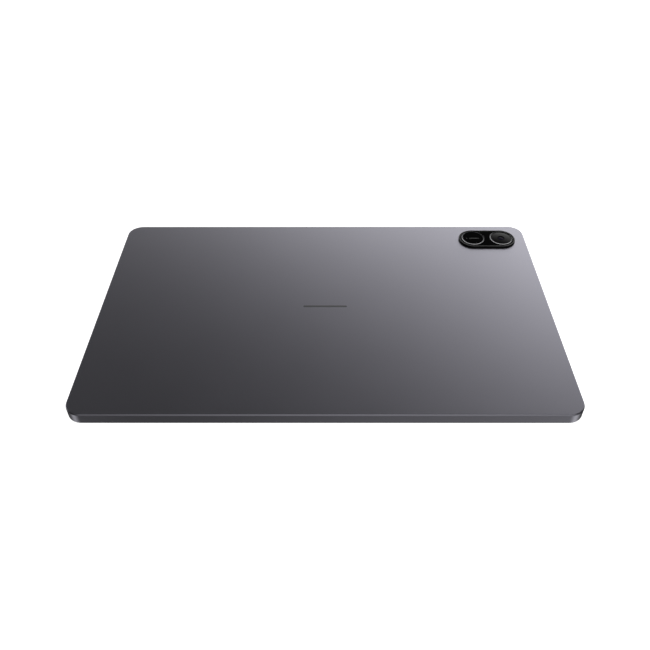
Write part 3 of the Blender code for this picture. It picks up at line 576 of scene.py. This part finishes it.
def wall_slot(shape, axis, sign, centre, length, height, flare=CUT_EDGE):
    """Adds a stadium cutter through a side wall. centre is (along the wall, height)."""
    face = HALF_X if axis == "X" else HALF_Y

    def outline(grow):
        return stadium(length + 2 * grow, height + 2 * grow, 8, centre)

    add_loft(shape, slot_rings(sign, face, outline, flare), axis)


def wall_cutters():
    """One cutter mesh for every opening in the side walls."""
    shape = bmesh.new()
    for name in SPEAKERS:
        at = middle(name)
        side = 1 if at.x > 0 else -1
        for k in range(GRILLE_SLOTS):
            spot = (at.y + (k - (GRILLE_SLOTS - 1) / 2) * GRILLE_PITCH, GRILLE_Z)
            wall_slot(shape, "X", side, spot, GRILLE_LONG, GRILLE_TALL, GRILLE_FLARE)
    power, volume, tray = middle("power_key").y, middle("volume_rocker").x, middle("card_tray").y
    key_tall = KEY_TALL + 2 * KEY_GAP
    wall_slot(shape, "X", 1, (power, SIDE_Z), POWER_LONG + 2 * KEY_GAP, key_tall)
    wall_slot(shape, "Y", 1, (volume, SIDE_Z), ROCKER_LONG + 2 * ROCKER_END_GAP, key_tall)
    tray_long, tray_tall = TRAY_LONG + 2 * TRAY_GAP, TRAY_TALL + 2 * TRAY_GAP
    wall_slot(shape, "X", 1, (tray, SIDE_Z), tray_long, tray_tall, TRAY_FLARE)
    port, size = middle("usb_shell"), span("usb_shell")
    port_long, port_tall = size.y + 2 * PORT_GAP, size.z + 2 * PORT_GAP
    wall_slot(shape, "X", -1, (port.y, port.z), port_long, port_tall, PORT_FLARE)
    hole = (MICROPHONE_LONG, MICROPHONE_TALL, MICROPHONE_FLARE)
    wall_slot(shape, "X", -1, (middle("microphone_side").y, SIDE_Z), *hole)
    wall_slot(shape, "Y", 1, (middle("microphone_top").x, SIDE_Z), *hole)
    return to_object("wall_cutters", shape)


def housing():
    """Metal back and side walls in one shell, with every opening."""
    profile = soften(
        [
            (3.0 * MM, BACK_Z, 0),
            (CHAMFER_WIDE, BACK_Z, CHAMFER_SOFT),
            (0.0, BACK_Z - CHAMFER_TALL, CHAMFER_SOFT),
            (0.0, RIM_Z, LOWER_SOFT),
            (LIP, RIM_Z, 0.06 * MM),
            (LIP, LEDGE_Z, 0),
            (WALL, LEDGE_Z, 0),
            (WALL, CAVITY_Z, 0.3 * MM),
            (4.0 * MM, CAVITY_Z, 0),
        ]
    )
    body = loft("housing", [(body_outline(inset), z) for inset, z in profile])
    hole = plate_outline(PLATE_OPENING_INSET)
    opening = loft("plate_opening", [(hole, CAVITY_Z - MM), (hole, BACK_Z + MM)])
    carve(body, wall_cutters(), opening)
    even_normals(body)
    place(body, anodised(), "anodised_aluminium", replaces=("rear_housing",))
    housing_ribs()


def housing_ribs():
    """Screw bosses and battery ribs inside the back."""
    shape = bmesh.new()
    for k in range(1, 7):
        at = middle(f"board_screw_{k}")
        outer = circle(BOSS_R, 24, (at.x, at.y))
        inner = circle(BOSS_HOLE_R, 24, (at.x, at.y))
        low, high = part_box("main_board")[1].z + 0.05 * MM, CAVITY_Z - HAIR
        add_loft(shape, [(outer, low), (outer, high), (inner, high), (inner, low)], closed=True)
    cells = (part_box("battery_cell_left"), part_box("battery_cell_right"))
    ribbon = middle("main_flex").y
    reach, gap = cells[0][1].y + 1.2 * MM, span("main_flex").y / 2 + 1 * MM
    for x in (cells[0][0].x - 1.4 * MM, cells[1][1].x + 2.4 * MM):
        for y0, y1 in ((-reach, ribbon - gap), (ribbon + gap, reach)):
            low = (x - RIB_HALF_WIDE, y0, CAVITY_Z - RIB_TALL)
            add_block(shape, low, (x + RIB_HALF_WIDE, y1, CAVITY_Z - HAIR))
    place(to_object("housing_bosses", shape), polished_edge(), "anodised_aluminium")


def back_mark():
    """Plain slim printed bar in the middle of the back."""
    outline = stadium(MARK_LONG, MARK_WIDE)
    bar = loft("back_mark", [(outline, BACK_Z + MARK_LOW), (outline, BACK_Z + MARK_HIGH)])
    place(bar, ink(), "black_plastic")


# ---------------------------------------------------------------- rear camera

PLATE_AT = (middle("camera_plinth").x, middle("camera_plinth").y)
LENS_PITCH = abs(middle("lens_ring_main").x - middle("lens_ring_second").x)
PLATE_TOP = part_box("camera_plinth")[1].z


def plate_outline(inset, steps=32):
    width = 2 * (PLATE_R - inset)
    return stadium(LENS_PITCH + width, width, steps, PLATE_AT)


def plate_loft(name, path):
    return loft(name, [(plate_outline(inset), z) for inset, z in soften(path, 6)])


def lathe(name, path, centre, closed=True, segments=RING_SEGMENTS):
    rings = [(circle(radius, segments, centre), z) for radius, z in soften(path, 5)]
    return loft(name, rings, closed=closed)


def camera_plate():
    """Raised black plate, held from inside by a flange, with a well for the lens."""
    flange_low, flange_high = CAVITY_Z - 0.55 * MM, CAVITY_Z - 0.05 * MM
    foot = BACK_Z + 0.05 * MM
    seat = BACK_Z + 0.35 * MM
    plate = plate_loft(
        "camera_plate",
        [
            (-1.2 * MM, flange_low, 0),
            (-1.2 * MM, flange_high, 0),
            (0.5 * MM, flange_high, 0),
            (0.5 * MM, foot, 0),
            (0.0, foot, 0.04 * MM),
            (0.0, PLATE_TOP - 0.24 * MM, 0.14 * MM),
            (0.22 * MM, PLATE_TOP, 0.10 * MM),
            (PLATE_RIM, PLATE_TOP, 0.06 * MM),
            (PLATE_RIM, seat, 0),
        ],
    )
    at = middle("lens_ring_main")
    opening = circle(WELL_R, SMALL_RING_SEGMENTS, (at.x, at.y))
    well = loft("lens_well", [(opening, flange_low - MM), (opening, PLATE_TOP + MM)])
    carve(plate, well)
    even_normals(plate)
    place(plate, black_plate(), "camera_metal", replaces=("camera_plinth",))


def camera_window():
    """Black glass inside the plate's border, with a hole for each ring."""
    low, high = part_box("camera_window")
    inset = PLATE_RIM + 0.06 * MM
    window = plate_loft(
        "camera_glass_plate",
        [(inset, low.z, 0), (inset, high.z, 0.10 * MM), (2 * PLATE_RIM + 0.1 * MM, high.z, 0)],
    )
    shape = bmesh.new()
    edge = 0.05 * MM
    for ring_low, ring_high in RINGS.values():
        at = (ring_low + ring_high) / 2
        radius = (ring_high.x - ring_low.x) / 2 + edge
        spot = (at.x, at.y)
        add_loft(
            shape,
            [
                (circle(radius, RING_SEGMENTS, spot), low.z - MM),
                (circle(radius, RING_SEGMENTS, spot), high.z - edge),
                (circle(radius + edge, RING_SEGMENTS, spot), high.z),
                (circle(radius + 5 * edge, RING_SEGMENTS, spot), high.z + 4 * edge),
            ],
        )
    carve(window, to_object("ring_holes", shape))
    even_normals(window)
    place(window, black_glass(), "camera_glass", replaces=("camera_window",))


def lens_rings():
    """Turned ring round each disc."""
    for name, (low, high) in RINGS.items():
        at = (low + high) / 2
        radius = (high.x - low.x) / 2
        ring = lathe(
            f"camera_ring_{name}",
            [
                (radius - RING_WIDE, low.z, 0),
                (radius, low.z, 0.03 * MM),
                (radius, high.z, 0.06 * MM),
                (radius - 0.08 * MM, high.z, 0.03 * MM),
                (radius - RING_WIDE, high.z - RING_FALL, 0.08 * MM),
                (radius - RING_WIDE, low.z + 0.02 * MM, 0.02 * MM),
            ],
            (at.x, at.y),
        )
        place(ring, ring_metal(), "ring_metal", replaces=(f"lens_ring_{name}",))


def second_disc():
    """Plain black disc with two dashes."""
    low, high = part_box("lens_cover_second")
    at, radius = (low + high) / 2, (high.x - low.x) / 2 + 0.03 * MM
    disc = lathe(
        "camera_disc_second",
        [
            (radius * 0.5, low.z, 0),
            (radius, low.z, 0.03 * MM),
            (radius, high.z, 0.07 * MM),
            (radius * 0.5, high.z, 0),
        ],
        (at.x, at.y),
        closed=False,
    )
    even_normals(disc)
    place(disc, black_glass(), "camera_glass", replaces=("lens_cover_second",))
    disc_marks((at.x, at.y), high.z)


def main_disc():
    """Crowned black disc with the lens in its middle."""
    low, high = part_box("lens_cover_main")
    at = (low + high) / 2
    spot = (at.x, at.y)
    radius = (high.x - low.x) / 2 + 0.03 * MM
    band = (radius - LENS_R) / LENS_CROWN_STEPS
    reaches = [LENS_R + band * k for k in range(LENS_CROWN_STEPS, 0, -1)] + [LENS_R + 0.05 * MM]
    crown = [(reach, high.z + DISC_CROWN * (1 - (reach / radius) ** 2), 0) for reach in reaches]
    disc = lathe(
        "camera_disc_main",
        [
            (LENS_R, low.z, 0.02 * MM),
            (radius, low.z, 0.03 * MM),
            *crown,
            (LENS_R, high.z - 0.02 * MM, 0.02 * MM),
        ],
        spot,
    )
    place(disc, lens_glass(), "camera_glass", replaces=("lens_cover_main",))
    dome = lathe(
        "front_lens",
        [
            (LENS_R - 0.05 * MM, low.z + 0.05 * MM, 0),
            (LENS_R - 0.05 * MM, high.z - 0.30 * MM, 0.04 * MM),
            (LENS_R * 0.66, high.z - 0.20 * MM, 0.5 * MM),
            (LENS_R * 0.30, high.z - 0.13 * MM, 0.5 * MM),
            (LENS_R * 0.08, high.z - 0.12 * MM, 0),
        ],
        spot,
        closed=False,
        segments=SMALL_RING_SEGMENTS,
    )
    place(dome, coated_lens(), "camera_glass")
    barrel(spot)


def disc_marks(spot, top):
    """Two plain grey dashes on the second disc."""
    shape = bmesh.new()
    for offset, length in DASHES:
        outline = stadium(length, DASH_WIDE, 8, (spot[0] + offset, spot[1]))
        add_loft(shape, [(outline, top + 0.002 * MM), (outline, top + 0.012 * MM)])
    place(to_object("disc_marks", shape), ink("grey_ink", (0.013, 0.013, 0.012), 0.10), "camera_glass")


def barrel(spot):
    """Stepped tube that carries the lens."""
    low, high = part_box("camera_lens_barrel")
    wide, narrow = (high.x - low.x) / 2, 3.1 * MM
    tube = lathe(
        "lens_barrel",
        [
            (wide, low.z, 0.05 * MM),
            (wide, low.z + 1.15 * MM, 0.05 * MM),
            (narrow, low.z + 1.25 * MM, 0.05 * MM),
            (narrow, high.z, 0.05 * MM),
            (2.3 * MM, high.z, 0.03 * MM),
            (2.1 * MM, high.z - 0.14 * MM, 0.03 * MM),
            (1.6 * MM, high.z - 0.14 * MM, 0.03 * MM),
            (1.45 * MM, high.z - 0.30 * MM, 0.03 * MM),
            (1.1 * MM, high.z - 0.30 * MM, 0.03 * MM),
            (1.0 * MM, low.z, 0.05 * MM),
        ],
        spot,
        segments=SMALL_RING_SEGMENTS,
    )
    place(tube, moulded(), "black_plastic", replaces=("camera_lens_barrel",))


# ---------------------------------------------------------------- screen side


def screen_cover():
    """Cover glass with a rounded edge."""
    profile = soften(
        [
            (6.0 * MM, GLASS_LOW.z, 0),
            (GLASS_INSET + 0.42 * MM, GLASS_LOW.z, 0.35 * MM),
            (GLASS_INSET + 0.03 * MM, GLASS_LOW.z + 0.22 * MM, 0.16 * MM),
            (GLASS_INSET, GLASS_HIGH.z, 0.03 * MM),
            (6.0 * MM, GLASS_HIGH.z, 0),
        ],
        6,
    )
    glass = loft("screen_cover", [(body_outline(inset), z) for inset, z in profile])
    even_normals(glass)
    place(glass, screen_glass(), "cover_glass", replaces=("cover_glass",))


def front_camera_spot():
    """Small lens aperture behind the printed border: a ring and a coated spot, flush with the glass."""
    spot = (middle("front_camera").x, FRONT_CAMERA_Y)
    face = GLASS_LOW.z
    back = face + HAIR
    ring_in = FRONT_LENS_R + 0.05 * MM
    ring_front = face - 0.004 * MM
    ring = lathe(
        "front_camera_ring",
        [
            (FRONT_RING_R, ring_front, 0),
            (FRONT_RING_R, back, 0),
            (ring_in, back, 0),
            (ring_in, ring_front, 0),
        ],
        spot,
        segments=SMALL_RING_SEGMENTS,
    )
    place(ring, ink("aperture_ink", (0.02, 0.02, 0.024)), "black_plastic")
    lens_front = face - 0.003 * MM
    lens = lathe(
        "front_camera_glass",
        [
            (0.3 * MM, lens_front, 0),
            (FRONT_LENS_R, lens_front, 0),
            (FRONT_LENS_R, back, 0),
            (0.3 * MM, back, 0),
        ],
        spot,
        closed=False,
        segments=SMALL_RING_SEGMENTS,
    )
    place(lens, coated_lens(), "camera_glass")


def screen_surround():
    """Plastic frame round the glass and the panel, notched for the front camera."""
    outer = HALF_X - BEZEL_HIGH.x
    inner = GLASS_INSET - 0.08 * MM
    seat = GLASS_HIGH.z + 0.15 * MM
    profile = soften(
        [
            (inner, seat, 0),
            (inner, BEZEL_LOW.z, 0.08 * MM),
            (outer, BEZEL_LOW.z, 0.08 * MM),
            (outer, BEZEL_HIGH.z, 0),
        ],
        4,
    )
    hole = rounded_rect(*SCREEN_HALF, 1.5 * MM)
    rings = [(body_outline(inset), z) for inset, z in profile]
    rings += [(hole, BEZEL_HIGH.z), (hole, seat)]
    surround = loft("screen_surround", rings, closed=True)
    notch = bmesh.new()
    y = middle("front_camera").y
    add_block(notch, (-3.6 * MM, y - 2.1 * MM, 0.5 * MM), (3.6 * MM, y + 2.1 * MM, 3.0 * MM))
    carve(surround, to_object("surround_notch", notch))
    place(surround, moulded(), "black_plastic", replaces=("bezel_frame",))


# ---------------------------------------------------------------- keys, tray and port


def wall_loft(name, axis, face, along, length, height, path):
    """Stadium piece in a wall, from a profile of (inset, distance out from the wall's face, radius)."""
    rings = [
        (stadium(length - 2 * inset, height - 2 * inset, 12, (along, SIDE_Z)), face + out)
        for inset, out in soften(path, 5)
    ]
    return loft(name, rings, axis)


def key_profile(skirt, flange, proud):
    """Key with a hidden skirt behind the wall and a softly rounded cap."""
    return [
        (-skirt, flange - 0.5 * MM, 0),
        (-skirt, flange, 0),
        (0.0, flange, 0),
        (0.0, proud - 0.02 * MM, 0.16 * MM),
        (0.30 * MM, proud, 0.12 * MM),
        (0.9 * MM, proud, 0),
    ]


def add_nub(shape, axis, along, inner, outer):
    """Small plunger at the back of a key."""
    outline = stadium(NUB_LONG, NUB_TALL, 8, (along, SIDE_Z))
    add_loft(shape, [(outline, inner), (outline, outer)], axis)


def power_button():
    low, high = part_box("power_key")
    y = middle("power_key").y
    flange = -(WALL + 0.10 * MM)
    profile = key_profile(1.2 * MM, flange, high.x - HALF_X)
    key = wall_loft("power_button", "X", HALF_X, y, POWER_LONG, KEY_TALL, profile)
    shape = bmesh.new()
    add_nub(shape, "X", y, low.x, HALF_X + flange - NUB_ROOT)
    nub = to_object("power_button_nub", shape)
    place(nub, anodised(), "anodised_aluminium", "power_key_body")
    place(key, anodised(), "anodised_aluminium", "power_key_body", ("power_key",))
    even_normals(key)
    even_normals(nub)


def volume_button():
    low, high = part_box("volume_rocker")
    x = middle("volume_rocker").x
    flange = -(WALL + 0.45 * MM)
    profile = key_profile(1.0 * MM, flange, high.y - HALF_Y)
    rocker = wall_loft("volume_button", "Y", HALF_Y, x, ROCKER_LONG, KEY_TALL, profile)
    even_normals(rocker)
    place(rocker, anodised(), "anodised_aluminium", "volume_rocker_body", ("volume_rocker",))
    shape = bmesh.new()
    for offset in (-ROCKER_NUB_AT, ROCKER_NUB_AT):
        add_nub(shape, "Y", x + offset, low.y, HALF_Y + flange - NUB_ROOT)
    nubs = to_object("volume_button_nubs", shape)
    place(nubs, anodised(), "anodised_aluminium", "volume_rocker_body")


def tray_front(y):
    """Face of the tray, with the hole for the eject pin."""
    back = -TRAY_FACE_THICK
    front = wall_loft(
        "tray_front",
        "X",
        HALF_X,
        y,
        TRAY_LONG,
        TRAY_TALL,
        [(0.8 * MM, back, 0), (0.0, back, 0.05 * MM), (0.0, 0.0, 0.09 * MM), (0.8 * MM, 0.0, 0)],
    )
    spot = (y + PIN_HOLE_AT, SIDE_Z)
    flare = PIN_HOLE_WIDE_R - PIN_HOLE_R
    pin = circle(PIN_HOLE_R, 32, spot)
    wide = circle(PIN_HOLE_WIDE_R, 32, spot)
    far = circle(1.2 * MM, 32, spot)
    hole = bmesh.new()
    add_loft(
        hole,
        [(pin, HALF_X - 2 * MM), (pin, HALF_X - flare), (wide, HALF_X), (far, HALF_X + 0.58 * MM)],
        "X",
    )
    carve(front, to_object("tray_pin_hole", hole))
    even_normals(front)
    place(front, anodised(), "anodised_aluminium", "card_tray_body", ("card_tray",))


def tray_bed(y, inner):
    """Bed of the tray, with a stepped pocket for one small card."""
    outer = HALF_X - TRAY_FACE_THICK - HAIR
    y0, y1 = y - 4.9 * MM, y + 6.9 * MM
    middle_of_bed = ((outer + inner) / 2, (y0 + y1) / 2)
    outline = rounded_rect((outer - inner) / 2, (y1 - y0) / 2, 0.6 * MM, 6, middle_of_bed)
    shape = bmesh.new()
    add_loft(shape, [(outline, SIDE_Z), (outline, SIDE_Z + 0.9 * MM)])
    bed = to_object("tray_bed", shape)
    centre = (inner + 7.3 * MM, y + 1.0 * MM)
    cutters = []
    for name, half_x, half_y, top in (
        ("tray_pocket", 6.3 * MM, 4.55 * MM, SIDE_Z + 0.65 * MM),
        ("tray_relief", 4.0 * MM, 2.75 * MM, SIDE_Z + 1.4 * MM),
    ):
        edge = rounded_rect(half_x, half_y, 0.8 * MM, 6, centre)
        shape = bmesh.new()
        add_loft(shape, [(edge, SIDE_Z - 0.3 * MM), (edge, top)])
        cutters.append(to_object(name, shape))
    carve(bed, *cutters)
    place(bed, polished_edge(), "anodised_aluminium", "card_tray_body")


def port_shell():
    """Thin steel tube with a stadium section and a rolled lip."""
    low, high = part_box("usb_shell")
    at, size = (low + high) / 2, high - low
    floor_x = high.x - 0.4 * MM
    path = soften(
        [
            (0.0, high.x, 0),
            (0.0, low.x, 0.12 * MM),
            (PORT_WALL, low.x, 0.12 * MM),
            (PORT_WALL, floor_x, 0.1 * MM),
            (PORT_WALL + 0.4 * MM, floor_x, 0),
        ]
    )
    rings = [
        (stadium(size.y - 2 * inset, size.z - 2 * inset, 16, (at.y, at.z)), x) for inset, x in path
    ]
    shell = loft("port_shell", rings, "X")
    even_normals(shell)
    place(shell, sheet_steel(), "steel", replaces=("usb_shell",))


def port_tongue():
    """Tongue with a thick root, and its two rows of contacts."""
    low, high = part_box("usb_tongue")
    at = (low + high) / 2
    spot = (at.y, at.z)
    nose = rounded_rect(3.2 * MM, 0.22 * MM, 0.15 * MM, 4, spot)
    tip = rounded_rect(3.345 * MM, 0.35 * MM, 0.2 * MM, 4, spot)
    root = rounded_rect(3.7 * MM, 0.95 * MM, 0.3 * MM, 4, spot)
    step = high.x - 1.5 * MM
    shape = bmesh.new()
    add_loft(
        shape,
        [(nose, low.x), (tip, low.x + 0.2 * MM), (tip, step - 0.05 * MM), (root, step), (root, high.x)],
        "X",
    )
    tongue = to_object("port_tongue", shape)
    place(tongue, moulded(), "chip_package", replaces=("usb_tongue",))

    half = Vector(((step - low.x - 0.55 * MM) / 2, 0.13 * MM, 0.02 * MM))
    shape = bmesh.new()
    for side in (-1, 1):
        for k in range(CONTACTS):
            along = (k - (CONTACTS - 1) / 2) * CONTACT_PITCH
            centre = Vector((low.x + 0.35 * MM + half.x, at.y + along, at.z + side * 0.36 * MM))
            add_block(shape, centre - half, centre + half)
    place(to_object("port_contacts", shape), gold_plate(), "steel")


def speaker_meshes():
    """Woven acoustic mesh behind each row of slots."""
    for name in SPEAKERS:
        at = middle(name)
        sign = 1 if at.x > 0 else -1
        x0, x1 = sorted((sign * (HALF_X - WALL - HAIR), sign * (HALF_X - WALL - HAIR - 0.1 * MM)))
        outline = stadium(18.2 * MM, 1.4 * MM, 8, (at.y, GRILLE_Z))
        piece = loft(name.replace("speaker", "mesh"), [(outline, x0), (outline, x1)], "X")
        place(piece, mesh_cloth(), "steel")


# ---------------------------------------------------------------- studio

CAMERA_AT = (0.775 * MM, -307.05 * MM, 273.19 * MM)
CAMERA_PITCH = 47.50  # degrees from straight down
CAMERA_YAW = 0.167
CAMERA_ROLL = -0.12
CAMERA_LENS = 37.77

# Soft patches on the studio's walls: azimuth from +Y towards +X, elevation, sharpness, strength
SOFT_PATCHES = [
    (28.5, 25.0, 38.0, 3.4),  # behind on the right, high
    (5.5, 15.0, 40.0, 5.5),  # straight behind
    (-12.0, 11.0, 35.0, 2.0),  # behind on the left
    (34.5, -3.5, 14.5, 6.6),  # broad, low behind on the right
    (-52.0, -3.0, 15.0, 4.2),  # broad, low on the left
    (166.5, 14.5, 5.0, 0.95),  # very broad, in front
    (-116.0, -41.5, 33.0, 1.7),  # from below on the left
    (116.0, -47.5, 26.0, 1.8),  # from below on the right
    (157.0, -67.5, 17.5, 0.65),  # from below in front
    (90.0, 40.0, 9.0, 0.35),  # right
    (-90.0, 40.0, 9.0, 0.22),  # left
    (0.0, 90.0, 9.0, 0.25),  # overhead
]
STUDIO_BASE = 0.02  # strength of the walls between the patches
BACKDROP = 1.0  # strength of the plain backdrop that the camera sees
FLOOR_REACH = 6.0
FLOOR_PALE = (0.85, 0.85, 0.85, 1.0)
FLOOR_SHIFT = 2.0  # keeps the seam between the floor's two triangles away from the tablet


def camera():
    """Camera at the photo's viewing angle."""
    data = bpy.data.cameras.new("camera")
    data.lens = CAMERA_LENS
    data.sensor_width = 36.0
    data.clip_start = 0.01
    data.clip_end = 50.0
    obj = bpy.data.objects.new("camera", data)
    bpy.context.scene.collection.objects.link(obj)
    turn = Matrix.Rotation(radians(CAMERA_YAW), 4, "Z") @ Matrix.Rotation(radians(CAMERA_PITCH), 4, "X")
    roll = Matrix.Rotation(radians(CAMERA_ROLL), 4, "Z")
    obj.matrix_world = Matrix.Translation(CAMERA_AT) @ turn @ roll
    bpy.context.scene.camera = obj


def direction(azimuth, elevation):
    a, e = radians(azimuth), radians(elevation)
    return Vector((sin(a) * cos(e), cos(a) * cos(e), sin(e)))


def studio():
    """Even studio with a few large soft patches of light; seen directly it is plain white."""
    world = bpy.data.worlds.new("studio")
    bpy.context.scene.world = world
    world.use_nodes = True
    tree = world.node_tree
    tree.nodes.clear()
    coords = tree.nodes.new("ShaderNodeTexCoord")

    def maths(operation, first, second=None):
        made = tree.nodes.new("ShaderNodeMath")
        made.operation = operation
        for socket, value in zip(made.inputs, (first, second)):
            if isinstance(value, (int, float)):
                socket.default_value = value
            elif value is not None:
                tree.links.new(value, socket)
        return made.outputs[0]

    total = None
    for azimuth, elevation, sharpness, strength in SOFT_PATCHES:
        dot = tree.nodes.new("ShaderNodeVectorMath")
        dot.operation = "DOT_PRODUCT"
        tree.links.new(coords.outputs["Generated"], dot.inputs[0])
        dot.inputs[1].default_value = direction(azimuth, elevation)
        fall = maths("MULTIPLY", maths("SUBTRACT", dot.outputs["Value"], 1.0), sharpness)
        patch = maths("MULTIPLY", maths("EXPONENT", fall), strength)
        total = patch if total is None else maths("ADD", total, patch)
    total = maths("ADD", total, STUDIO_BASE)

    seen = tree.nodes.new("ShaderNodeLightPath").outputs["Is Camera Ray"]
    light = tree.nodes.new("ShaderNodeBackground")
    light.inputs["Color"].default_value = WHITE
    tree.links.new(total, light.inputs["Strength"])
    backdrop = tree.nodes.new("ShaderNodeBackground")
    backdrop.inputs["Color"].default_value = WHITE
    backdrop.inputs["Strength"].default_value = BACKDROP
    mix = tree.nodes.new("ShaderNodeMixShader")
    tree.links.new(seen, mix.inputs["Fac"])
    tree.links.new(light.outputs[0], mix.inputs[1])
    tree.links.new(backdrop.outputs[0], mix.inputs[2])
    out = tree.nodes.new("ShaderNodeOutputWorld")
    tree.links.new(mix.outputs[0], out.inputs["Surface"])


def floor():
    """Plain pale floor, lit evenly. Its underside lets the view through."""
    shape = bmesh.new()
    signs = ((-1, -1), (1, -1), (1, 1), (-1, 1))
    shape.faces.new([shape.verts.new((x * FLOOR_REACH, y * FLOOR_REACH, 0.0)) for x, y in signs])
    obj = to_object("floor", shape)
    obj.location = (0.0, FLOOR_SHIFT, cad_low.z - HAIR)
    material = bpy.data.materials.new("pale_floor")
    material.use_nodes = True
    tree = material.node_tree
    shader = tree.nodes["Principled BSDF"]
    shader.inputs["Base Color"].default_value = FLOOR_PALE
    shader.inputs["Roughness"].default_value = 1.0
    shader.inputs["Specular IOR Level"].default_value = 0.0
    shader.inputs["Emission Color"].default_value = WHITE
    shader.inputs["Emission Strength"].default_value = 1.0
    clear = tree.nodes.new("ShaderNodeBsdfTransparent")
    geometry = tree.nodes.new("ShaderNodeNewGeometry")
    mix = tree.nodes.new("ShaderNodeMixShader")
    tree.links.new(geometry.outputs["Backfacing"], mix.inputs["Fac"])
    tree.links.new(shader.outputs[0], mix.inputs[1])
    tree.links.new(clear.outputs[0], mix.inputs[2])
    tree.links.new(mix.outputs[0], tree.nodes["Material Output"].inputs["Surface"])
    obj.data.materials.append(material)
    obj.visible_glossy = False
    obj.visible_shadow = False


# ---------------------------------------------------------------- everything

housing()
back_mark()
camera_plate()
camera_window()
lens_rings()
second_disc()
main_disc()
screen_cover()
front_camera_spot()
screen_surround()
power_button()
volume_button()
tray_front(middle("card_tray").y)
tray_bed(middle("card_tray").y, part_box("card_tray")[0].x)
port_shell()
port_tongue()
speaker_meshes()
paint_inner_nodes()
camera()
studio()
floor()
bpy.context.scene.view_settings.view_transform = "Standard"
